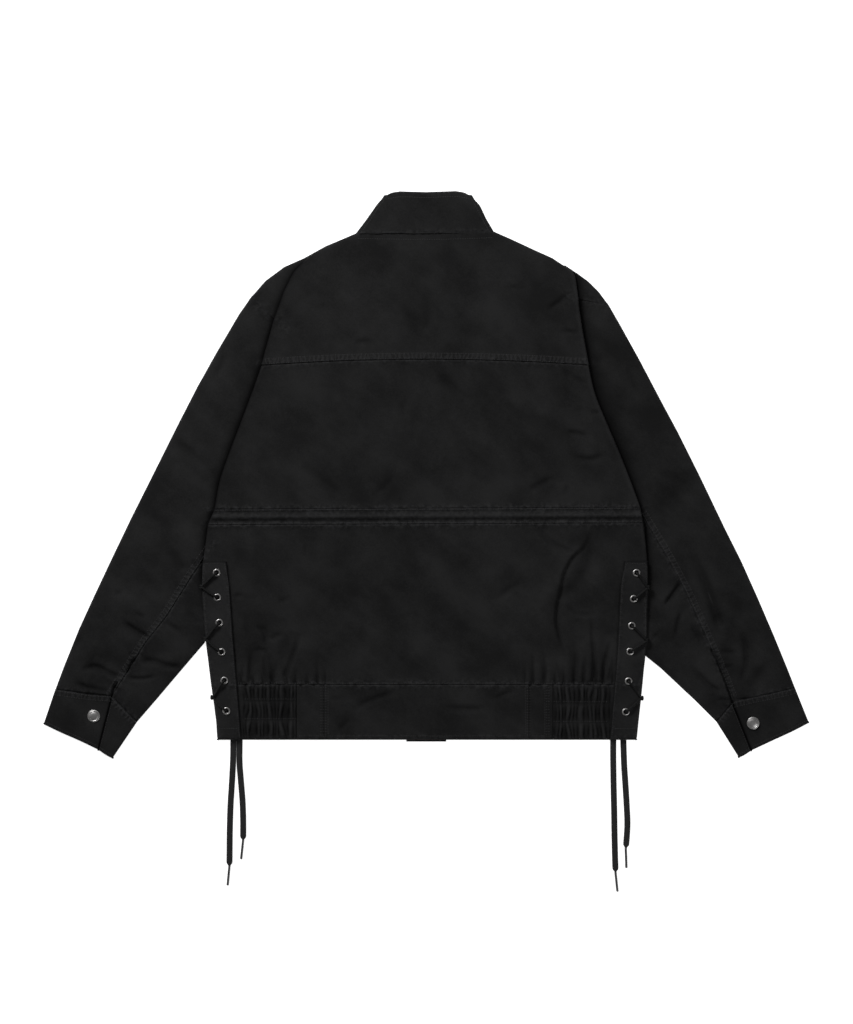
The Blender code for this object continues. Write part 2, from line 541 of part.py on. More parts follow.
def strips(cloth, metal):
    """Lacing strips with their eyelets."""
    heights = [-116.5, -126, -156, -187, -218, -250, BAND_SEAM_Y, -307.5, -332.5, HEM_Y]
    for name, side in SIDES.items():
        ribs = [Rib(at_height(BODY, y, side), y, at_height(STRIP, y, side), y) for y in heights]
        strip = panel(f"lacing_strip_{name}", ribs, strip_height, cloth, along=2,
                      across=[0, 0.21, 0.57, 1], curve=straight)
        cutter = bmesh.new()
        for number, spot in enumerate(EYELETS[side], 1):
            top = Vector((spot.x, spot.y, strip_height(spot.x, spot.y)))
            normal = slope(strip_height, spot.x, spot.y)
            hole = bmesh.ops.create_cone(cutter, cap_ends=True, segments=EYELET_SIDES, depth=3.6 * CLOTH,
                                         radius1=EYELET_BARREL + GAP, radius2=EYELET_BARREL + GAP)
            turn = Vector((0, 0, 1)).rotation_difference(normal).to_matrix()
            bmesh.ops.rotate(cutter, cent=(0, 0, 0), matrix=turn, verts=hole["verts"])
            bmesh.ops.translate(cutter, vec=top - normal * CLOTH / 2, verts=hole["verts"])
            profile = [(EYELET_HOLE, -CLOTH + GAP), (EYELET_BARREL, -CLOTH + GAP),
                       (EYELET_BARREL, 2 * GAP), (EYELET_FLANGE, 2 * GAP),
                       (EYELET_FLANGE - 0.6, EYELET_RISE), (EYELET_HOLE, EYELET_RISE)]
            turned(f"eyelet_{name}_{number}", profile, EYELET_SIDES, metal, top, normal)
        holes = finish_mesh(f"holes_{name}", cutter, metal)
        holes.hide_render = True
        holes.display_type = "WIRE"
        cut = strip.modifiers.new("eyelet holes", "BOOLEAN")
        cut.operation = "DIFFERENCE"
        cut.object = holes


def lacing(lace):
    """Three Vs on each side: out of one eyelet, round the side edge and into the next."""
    rise = [(0.0, -0.3), (0.4, 2.2), (2.4, 3.7), (6.5, 3.6), (11.0, 2.8)]
    for name, side in SIDES.items():
        for number in range(3):
            start, end = EYELETS[side][2 * number], EYELETS[side][2 * number + 1]
            edge_y = (start.y + end.y) / 2 - 2.5
            edge_x = at_height(BODY, edge_y, side)
            points = []
            for spot, lean in ((start, 2.5), (end, -2.5)):
                to_x, to_y = edge_x - spot.x, edge_y + lean - spot.y
                reach = math.hypot(to_x, to_y)
                arm = [(spot.x + to_x * d / reach, spot.y + to_y * d / reach, h) for d, h in rise]
                arm = [(x, y, strip_height(x, y) + h) for x, y, h in arm]
                for out, up in ((-1.5, 2.7), (1.7, 2.1), (2.9, -0.9)):
                    x, y = edge_x + side * out, edge_y + lean
                    arm.append((x, y, strip_height(edge_x, y) + up))
                points.append(arm)
            tube(f"lace_{name}_{number + 1}", points[0] + points[1][::-1], LACE_V, lace)


# ---------------------------------------------------------------- collar, fronts, sleeves
def collar(cloth):
    """Stand collar: its back, and its front on the surface."""
    base = [Spot(-95, 327), Spot(-48, 327.6), Spot(0, 327.8), Spot(46, 328.2), Spot(91, 329.5)]
    top = [COLLAR_TOP[0], Spot(-36, 383.6), Spot(0, 382.6), Spot(40, 384), COLLAR_TOP[-1]]
    ribs = [Rib(a.x, a.y, b.x, b.y) for a, b in zip(base, top)]

    def place(x, y):
        side = LEFT if x < 0 else RIGHT
        line = COLLAR_LEFT if side == LEFT else COLLAR_RIGHT[::-1]
        up = min(max((y - line[0].y) / (line[-1].y - line[0].y), 0), 1)
        chord = line[0].x + (line[-1].x - line[0].x) * up
        real = straight([(spot.x,) for spot in line], 3 * up)[0]
        return x * (1 + (real / chord - 1) * min(abs(x / chord), 1)), y

    panel("collar_back", ribs, back_height, cloth, along=4, across=grid_steps(5, last=(0.06, 0.18)),
          curve=straight, place=place)
    panel("collar_front", ribs, floor_height, cloth, along=2, across=grid_steps(3), curve=straight,
          place=place, trim=(SEAM, UNDER_INSET, UNDER_INSET, UNDER_INSET))


def fronts(cloth):
    """Left and right front, the placket between them and the front hem bands."""
    panel("front_placket", [Rib(-PLACKET, COLLAR_SEAM_Y, PLACKET, COLLAR_SEAM_Y),
                            Rib(-PLACKET, PLACKET_END_Y, PLACKET, PLACKET_END_Y)],
          floor_height, cloth, along=2, across=grid_steps(2))
    for name, side in SIDES.items():
        shoulder = SHOULDER_LEFT[:0:-1] if side == LEFT else SHOULDER_RIGHT[:3]
        shoulder = [Spot(spot.x - side * UNDER_INSET, spot.y - UNDER_INSET)
                    for spot in shoulder + SHOULDER_LINE[side][:-1]]
        shoulder.append(Spot(SHOULDER_LINE[side][-1].x - side * UNDER_INSET, SHOULDER_LINE[side][-1].y))
        armhole = [Spot(rib.x1, rib.y1) for rib in SLEEVE_UNDER[side] if rib.y1 > -245]
        below = [Spot(at_height(BODY, y, side) - side * UNDER_INSET, y)
                 for y in (armhole[-1].y - 12, -264, BAND_SEAM_Y)]
        ribs = [Rib(side * PLACKET, spot.y, spot.x, spot.y) for spot in shoulder + armhole + below]
        panel(f"front_{name}", ribs, floor_height, cloth, along=1, across=grid_steps(2), curve=straight)
        ribs = [Rib(side * PLACKET, y, at_height(BODY, y, side) - side * UNDER_INSET, y)
                for y in (BAND_SEAM_Y, -325, HEM_Y)]
        panel(f"front_band_{name}", ribs, floor_height, cloth, along=1, across=grid_steps(2),
              curve=straight, trim=(SEAM, SEAM, SEAM, 1.0))


def sleeves(cloth):
    """Each sleeve: top, panel behind the back seam, the side on the surface, and the shoulder wedge."""
    rounded = grid_steps(6, first=(0.02, 0.06, 0.14), last=(0.05,))
    for name, side in SIDES.items():
        panel(f"sleeve_{name}", SLEEVE[side], sleeve_height, cloth, along=2, across=rounded,
              curve=straight)
        panel(f"sleeve_back_{name}", SLEEVE_BACK[side], sleeve_height, cloth, along=2,
              across=grid_steps(3, last=(0.06, 0.2)), curve=straight)
        panel(f"sleeve_under_{name}", SLEEVE_UNDER[side], floor_height, cloth, along=1,
              across=grid_steps(2), trim=(UNDER_INSET, SEAM, SEAM, SEAM), curve=straight)
        panel(f"shoulder_{name}", SHOULDER_WEDGE[side], shoulder_height, cloth, along=2, curve=straight,
              across=grid_steps(3, first=(0.08, 0.25)))


def cuffs(cloth, metal):
    """Cuffs with their snaps, the ends beyond the slit, and the sides on the surface."""
    for name, side in SIDES.items():
        across = grid_steps(4)
        panel(f"cuff_{name}", CUFF[side], cuff_height, cloth, along=3, across=across, wall=CUFF_CLOTH)
        panel(f"cuff_end_{name}", CUFF_END[side], cuff_height, cloth, along=2, across=across,
              wall=CUFF_CLOTH)
        under = [Rib(rib.x0, rib.y0, rib.x1 - side * 1.0, rib.y1 + UNDER_INSET)
                 for rib in CUFF[side] + CUFF_END[side][1:]]
        seam = SLEEVE_UNDER[side][-1]
        steps = len(under) - 1
        under = [Rib(seam.x0 + (seam.x1 - seam.x0) * i / steps, seam.y0 + (seam.y1 - seam.y0) * i / steps,
                     rib.x1, rib.y1) for i, rib in enumerate(under)]
        panel(f"cuff_under_{name}", under, floor_height, cloth, along=1, across=grid_steps(2),
              trim=(SEAM, SEAM, UNDER_INSET, UNDER_INSET), curve=straight)
        spot = SNAPS[side]
        profile = [(0.0, GAP), (SNAP * 0.46, GAP), (SNAP / 2, 0.9), (SNAP * 0.47, 1.7), (SNAP * 0.36, 1.9),
                   (SNAP * 0.3, 1.5), (SNAP * 0.18, 2.2), (0.0, 2.5)]
        turned(f"snap_{name}", profile, 16, metal, Vector((*spot, cuff_height(*spot))),
               slope(cuff_height, *spot))


def laces(lace, metal):
    """The four free lace ends and their aglets, lying on the surface."""
    for route in LACES:
        points = [(spot.x, spot.y, LACE / 2) for spot in route.points]
        tube(f"lace_{route.name}", smooth_route(points, 2 * LACE), LACE, lace)
        end = Vector((*route.points[-1], AGLET / 2))
        tip = Vector((*route.aglet, AGLET / 2))
        ahead = (tip - end).normalized()
        start = end + ahead * 2 * GAP
        half = (tip - start).length / 2
        profile = [(0.0, -half), (AGLET * 0.45, -half), (AGLET / 2, -half + 0.6), (AGLET / 2, half - 1.5),
                   (AGLET * 0.38, half), (0.0, half)]
        turned(f"aglet_{route.name}", profile, 10, metal, (start + tip) / 2, ahead)


def main():
    for thing in list(bpy.data.objects):
        bpy.data.objects.remove(thing)
    cloth = material("black twill", (0.012, 0.012, 0.013), 0.85)
    lace = material("black lace", (0.008, 0.008, 0.008), 0.8)
    steel = material("nickel", (0.62, 0.61, 0.6), 0.25, metallic=1.0)
    dark_steel = material("gunmetal", (0.2, 0.2, 0.2), 0.35, metallic=1.0)
    back(cloth)
    band(cloth)
    strips(cloth, steel)
    lacing(lace)
    collar(cloth)
    fronts(cloth)
    sleeves(cloth)
    cuffs(cloth, steel)
    laces(lace, dark_steel)


main()
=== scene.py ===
"""Field jacket laid flat, back side up: its cloth, stitching, lacing, metal parts and the studio.

Sizes are in millimetres and become metres when a mesh is made. +Y points to the collar, +X to the
right-hand sleeve and +Z up, as in the packed model.
"""
import math
from collections import namedtuple

import bmesh
import bpy
import numpy as np
from bpy.props import FloatProperty, FloatVectorProperty, PointerProperty
from mathutils import Matrix, Vector, noise


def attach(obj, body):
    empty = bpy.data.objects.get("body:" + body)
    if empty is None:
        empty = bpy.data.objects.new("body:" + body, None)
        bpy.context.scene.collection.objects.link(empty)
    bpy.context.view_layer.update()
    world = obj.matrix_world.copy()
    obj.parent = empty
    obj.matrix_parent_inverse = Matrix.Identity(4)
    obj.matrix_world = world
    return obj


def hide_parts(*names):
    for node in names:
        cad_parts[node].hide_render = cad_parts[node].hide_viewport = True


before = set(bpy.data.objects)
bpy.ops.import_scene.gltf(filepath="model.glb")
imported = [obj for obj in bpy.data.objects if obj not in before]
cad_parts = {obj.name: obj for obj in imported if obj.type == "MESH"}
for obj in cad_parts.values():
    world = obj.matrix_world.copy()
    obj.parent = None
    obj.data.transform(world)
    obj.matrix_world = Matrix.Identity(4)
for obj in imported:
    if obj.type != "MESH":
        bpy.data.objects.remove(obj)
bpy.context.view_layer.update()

bl_info = {
    "name": "Field jacket",
    "version": (1, 0, 0),
    "blender": (4, 5, 0),
    "location": "View3D > Sidebar > Jacket",
    "description": "Makes the cloth, stitching, lacing and metal of a field jacket laid flat",
    "category": "Add Mesh",
}

MM = 0.001
LEFT, RIGHT = -1, 1
SIDES = {"left": LEFT, "right": RIGHT}

Side = namedtuple("Side", "y left right")
Rib = namedtuple("Rib", "x0 y0 x1 y1")
Fold = namedtuple("Fold", "x0 y0 x1 y1 bend width depth")
Spot = namedtuple("Spot", "x y")
Seam = namedtuple("Seam", "points pitch pucker reach wear ribs", defaults=(None,))
Crease = namedtuple("Crease", "points depth width rise reach dark side ends", defaults=(0, (0.4, 0.4)))
Route = namedtuple("Route", "name points aglet")
Row = namedtuple("Row", "line height lift", defaults=(0.1,))
Elastic = namedtuple("Elastic", "inner outer heights")


def spots(*places):
    """A line of spots."""
    return [Spot(*place) for place in places]


def starts(ribs):
    return [Spot(rib.x0, rib.y0) for rib in ribs]


def ends(ribs):
    return [Spot(rib.x1, rib.y1) for rib in ribs]


# Walls, as in the solids
BASE, CLOTH, CUFF_CLOTH = 2.3, 1.6, 2.4
LOFT, SLEEVE_LOFT, CUFF_LOFT = 3.4, 3.2, 1.2
ROLL = 18.0
STRIP_LIFT = 1.35
UNDER_INSET = 2.5
FRONT_CLOTH = 2.0

# How high cloth turned down ends above the surface, and how deep a side fold's edge sinks into the
# cloth that it lies on
FLOOR_GAP, FOLD_SINK = 0.25, 0.4

# Heights where the back's folds, the sleeves' outer edges and the lacing strips begin or end
BODY_TOP_Y, BODY_BASE_Y = 297.0, -357.0
SLEEVE_TOP_Y, SLEEVE_BASE_Y = 236.0, -336.0
STRIP_TOP_Y, STRIP_EDGE_Y, STRIP_ROW_Y = -116.5, -117.0, -119.0

# Seams across the back
YOKE_SEAM_Y, YOKE_SEAM_DROP = 156.0, 8.0
CHANNEL_TOP_Y, CHANNEL_BASE_Y = -44.8, -65.8
CHANNEL_TILT = 0.0045
BAND_SEAM_Y, HEM_Y = -282.5, -357.5
COLLAR_SEAM_Y, PLACKET, PLACKET_END_Y = 327.0, 27.0, -360.0
SHIRR_LEFT, TAB_LEFT, TAB_RIGHT, SHIRR_RIGHT = -175.0, -138.0, 139.0, 171.0
SHIRR_OUTER, PLEATS, PLEAT_RISE, ELASTIC_ROWS = 247.5, 13, 2.6, 3
ROW_SHIFT = -1.7          # the rows of elastic are a little lower on the right

# Radii of an eyelet's hole, its flange and the hole in the cloth; an aglet's diameter and crimps
EYELET_HOLE, EYELET_FLANGE, CLOTH_HOLE = 2.9, 5.2, 3.2
AGLET, CRIMPS = 3.4, 9

GATHER_PITCH = 13.5       # from one gather above the elastic to the next

# Finer than the solids: the back's puffed side folds, the sleeves' dip beside them and the cord
TUCK, LEFT_VALLEY, RIGHT_VALLEY, CORD_RISE = 2.0, 5.0, 15.0, 2.0

# The back's edges: folds over the sleeves down to the waist, side edges below it
BODY = [
    Side(297, -158, 176), Side(275, -178, 198), Side(248, -192, 204), Side(210, -206, 209),
    Side(152, -222, 219), Side(110, -236, 228), Side(70, -251, 244), Side(30, -266, 261),
    Side(-8, -279, 276), Side(-45, -286, 289), Side(-66, -295, 293), Side(-100, -299, 297),
    Side(-140, -303, 299), Side(-187, -300.5, 298), Side(-224, -297.5, 297.5),
    Side(-259, -293.5, 294), Side(-286, -290, 291.5), Side(-325, -284.5, 287.5), Side(-358, -282, 284)]

# Inner edges of the two lacing strips, and where their tops are
STRIP = [Side(-116, -269.5, 267.6), Side(-145, -265.3, 262.2), Side(-190, -262.3, 259.8),
         Side(-252, -257.6, 256.1), Side(-344, -250.5, 248.8), Side(-358, -249.4, 247.9)]

# The sleeves' outer edges
SLEEVE_OUT = [
    Side(236.5, -240.7, 242.6), Side(209.5, -258.3, 258.8), Side(155.5, -289.3, 288.5),
    Side(101.5, -319, 316.8), Side(47.5, -346, 345.2), Side(-6.5, -373, 372.2), Side(-60.5, -400, 397.8),
    Side(-114.5, -425.7, 424.8), Side(-168.5, -451.3, 449.1), Side(-222.5, -475.6, 472.1),
    Side(-271, -494.5, 492.3), Side(-311.6, -509.3, 508.5), Side(-336.4, -517, 517)]

# Shoulder and collar outline, from the left back fold over the collar to the right one
SHOULDER_LEFT = spots((-158, 297), (-136, 309.5), (-114, 318.8), (-95, 327))
COLLAR_LEFT = spots((-95, 327), (-81.5, 345.2), (-69, 364), (-57, 380.2))
COLLAR_TOP = spots((-57, 380.2), (-44, 383.6), (0, 382.6), (44, 384), (62, 380.4))
COLLAR_RIGHT = spots((62, 380.4), (73, 362.5), (81, 346.5), (91, 329.5))
COLLAR = [Rib(-95, 327, -57, 380.2), Rib(-48, 327.6, -36, 383.6), Rib(0, 327.8, 0, 382.6),
          Rib(46, 328.2, 40, 384), Rib(91, 329.5, 62, 380.4)]
SHOULDER_RIGHT = spots((91, 329.5), (116, 318.5), (145, 305), (176, 290.5))

# The largest folds; a positive depth is a trough with a soft ridge beside it
BACK_FOLDS = [
    Fold(18, 134, 60, 92, 4, 13, 1.6), Fold(66, 146, 130, 100, -5, 15, 1.8),
    Fold(184, 142, 224, 110, 3, 13, 1.8), Fold(180, 58, 232, 14, -4, 14, 1.5),
    Fold(-165, 14, -105, -30, 3, 15, 1.3), Fold(-15, 246, 18, 175, 5, 14, 1.1),
    Fold(224, -67, 182, -170, -18, 12, 3.0), Fold(182, -150, 190, -240, 8, 11, 2.8),
    Fold(152, -66, 198, -104, 5, 13, 2.2), Fold(188, -176, 230, -186, -3, 10, 1.8),
    Fold(138, -140, 86, -174, 4, 16, 1.7), Fold(-176, -212, -192, -280, 6, 11, 2.6),
    Fold(-232, -160, -214, -238, -7, 11, 2.4), Fold(-236, -226, -228, -280, 2, 8, 2.4),
    Fold(-212, -226, -208, -280, -2, 7, 2.2), Fold(204, -216, 203, -280, 2, 8, 2.4),
    Fold(226, -226, 225, -280, -2, 7, 2.2), Fold(244, -212, 242, -280, 2, 7, 2.2)]
SLEEVE_FOLDS = [
    Fold(-411, -196, -370, -218, 3, 11, 2.4), Fold(-464, -262, -412, -256, -5, 11, 2.4),
    Fold(-384, -250, -340, -232, 3, 10, 2.0), Fold(-420, -150, -352, -160, -5, 14, 2.0),
    Fold(-330, 60, -268, 20, 5, 16, 1.8), Fold(-372, -60, -320, -74, -3, 14, 1.6),
    Fold(-445, -232, -432, -292, 4, 10, 2.2), Fold(346, -88, 394, -186, 10, 12, 2.6),
    Fold(394, -186, 400, -206, 2, 9, 1.8), Fold(322, -168, 345, -140, -3, 11, 2.2),
    Fold(430, -170, 412, -272, 6, 12, 2.2), Fold(472, -250, 440, -292, 3, 10, 2.2),
    Fold(284, 120, 240, 74, -4, 15, 1.6), Fold(372, -20, 316, -42, 4, 15, 1.8)]

# Sleeve ribs run from the outer edge to the seam behind the arm, the last along the cuff
SLEEVE = {
    LEFT: [Rib(-238, 239, -190, 198), Rib(-253, 217.5, -195, 168), Rib(-283, 166.5, -205, 124),
           Rib(-308.5, 121, -219, 82), Rib(-334, 71.5, -236, 34), Rib(-364, 11.5, -258, -30),
           Rib(-398, -56.5, -286, -92), Rib(-424, -110.5, -318, -139), Rib(-448, -161.5, -349, -188.7),
           Rib(-469, -207.5, -378, -225), Rib(-489, -257, -403, -265), Rib(-501, -289, -424.3, -297.5)],
    RIGHT: [Rib(247, 229, 193, 241), Rib(262, 203, 193, 196), Rib(287, 158, 201, 150),
            Rib(313, 108.5, 213, 100), Rib(340, 58, 234, 52), Rib(369, 0, 259, -4),
            Rib(404, -73, 290, -52), Rib(426, -117, 322, -106), Rib(448, -166, 350, -158),
            Rib(470, -217.5, 375, -213), Rib(489, -264, 401, -273.5), Rib(498, -287, 413, -306)]}
SEAM_RIBS = 6  # the last ribs of the sleeve end on the back seam

# Inner ends of the panel behind the back seam, under the back and then along the inner edge
SLEEVE_INNER = {
    LEFT: spots((-286.5, -128), (-291, -186), (-299, -226), (-334, -267), (-365, -303.5), (-390.5, -333)),
    RIGHT: spots((281, -100), (285, -165), (291, -240), (317, -261), (364, -305), (392, -333))}
SLEEVE_BACK = {side: [Rib(rib.x1, rib.y1, spot.x, spot.y)
                      for rib, spot in zip(SLEEVE[side][-SEAM_RIBS:], SLEEVE_INNER[side])]
               for side in (LEFT, RIGHT)}

# The wedge of shoulder outside the back's fold: from the outline to its end below the fold
SHOULDER_WEDGE = {
    LEFT: [Rib(-166, 293, -163, 284), Rib(-192, 281.5, -176, 268), Rib(-217, 263, -182, 238),
           Rib(-238, 239, -190, 198)],
    RIGHT: [Rib(203, 273.5, 196, 266), Rib(219, 262, 196, 258), Rib(233, 248, 194, 250),
            Rib(247, 229, 193, 241)]}

# The side of the sleeve that lies on the surface
SLEEVE_UNDER = {
    LEFT: [Rib(-238, 239, -190, 198), Rib(-270, 188, -198, 150), Rib(-308.5, 121, -219, 82),
           Rib(-346, 47.5, -246, -2), Rib(-386, -32, -281, -86), Rib(-426, -115, -287, -160),
           Rib(-448, -161.5, -299, -226), Rib(-469, -207.5, -334, -267),
           Rib(-489, -257, -365, -303.5), Rib(-501, -289, -390.5, -333)],
    RIGHT: [Rib(247, 229, 194, 224), Rib(274, 182, 196, 180), Rib(300, 134, 203, 140),
            Rib(326, 85, 216, 92), Rib(350, 38, 238, 42), Rib(377, -16, 260, -12),
            Rib(404, -73, 278, -75), Rib(426, -117, 284, -150), Rib(448, -166, 291, -240),
            Rib(470, -217.5, 317, -261), Rib(489, -264, 364, -305), Rib(498, -287, 392, -333)]}

# Cuffs: from the sleeve's seam to the bottom edge
CUFF = {
    LEFT: [Rib(-501, -289, -517, -336.4), Rib(-476, -292.5, -494, -347.5),
           Rib(-450, -296, -468, -359), Rib(-424.3, -297.5, -443, -371)],
    RIGHT: [Rib(498, -287, 517, -334.5), Rib(470, -293.5, 496, -345.5),
            Rib(441, -299.5, 470, -357.5), Rib(413, -306, 439, -372)]}
CUFF_END = {
    LEFT: [Rib(-424, -298.5, -443, -371), Rib(-408, -316, -432, -378.5),
           Rib(-390.5, -333, -424, -382.5)],
    RIGHT: [Rib(412.5, -306.5, 439, -372), Rib(403, -320, 430, -378), Rib(392, -333, 422.5, -381.5)]}
SNAPS = {LEFT: Spot(-448.7, -325.1), RIGHT: Spot(441, -334.5)}

EYELETS = {
    LEFT: spots((-282.6, -131.5), (-281.6, -164.8), (-279, -199), (-275.8, -238.4), (-272.2, -276.8),
                (-269.3, -317.9)),
    RIGHT: spots((283.4, -131.6), (279.5, -166.7), (277, -203), (274.7, -237.8), (272.6, -277.6),
                 (268.8, -319.1))}

# Free lace ends on the surface, from the hem to the aglet
LACES = [
    Route("left_outer", spots((-260.6, -358.6), (-260.8, -372), (-261.1, -386), (-261.8, -400),
                              (-262.5, -413), (-263.3, -426), (-264.2, -440), (-264.8, -453),
                              (-265.2, -466), (-265.5, -479), (-265.7, -492), (-265.8, -505),
                              (-265.9, -517), (-266.1, -529.4)), Spot(-268.4, -554.3)),
    Route("left_inner", spots((-252.3, -358.6), (-252.4, -370), (-252.5, -382), (-252.1, -394),
                              (-251.1, -406), (-250.1, -418), (-249.1, -430), (-248.3, -441),
                              (-247.8, -452), (-247.5, -463), (-247.4, -474), (-247.4, -484),
                              (-247.6, -494.4)), Spot(-250.2, -519)),
    Route("right_inner", spots((252.7, -358.9), (252.6, -373), (252.7, -387), (252.9, -401),
                               (253.1, -415), (253.4, -429), (253.7, -443), (254.0, -457), (254.2, -471),
                               (254.4, -485), (254.7, -499), (255.0, -512), (255.4, -525),
                               (255.8, -537.6)), Spot(258.4, -562.7)),
    Route("right_outer", spots((266.4, -359.2), (266.7, -371), (267.1, -383), (267.6, -395),
                               (268.4, -407), (269.2, -419), (270.0, -431), (270.7, -443), (271.3, -455),
                               (271.8, -467), (271.6, -479), (270.7, -492),
                               (269.6, -505)), Spot(270.5, -530.8))]

# Lines that the heights are measured from
SLEEVE_HEAD = {side: starts(SLEEVE[side][:1]) + ends(SLEEVE[side][:1]) for side in (LEFT, RIGHT)}
INNER_EDGE = {side: ends(SLEEVE_UNDER[side]) for side in (LEFT, RIGHT)}
CUFF_EDGE = {side: ends(CUFF[side][::-1]) + starts(CUFF[side][:1]) for side in (LEFT, RIGHT)}
CUFF_SLIT = {side: starts(CUFF[side][-1:]) + ends(CUFF[side][-1:]) for side in (LEFT, RIGHT)}
BACK_SEAM = {side: ends(SLEEVE[side][-SEAM_RIBS:]) for side in (LEFT, RIGHT)}
SHOULDER_LINE = {LEFT: spots((-158, 297), (-192, 281.5), (-217, 263), (-238, 239)),
                 RIGHT: spots((176, 290.5), (204, 274), (228, 254), (247, 229))}

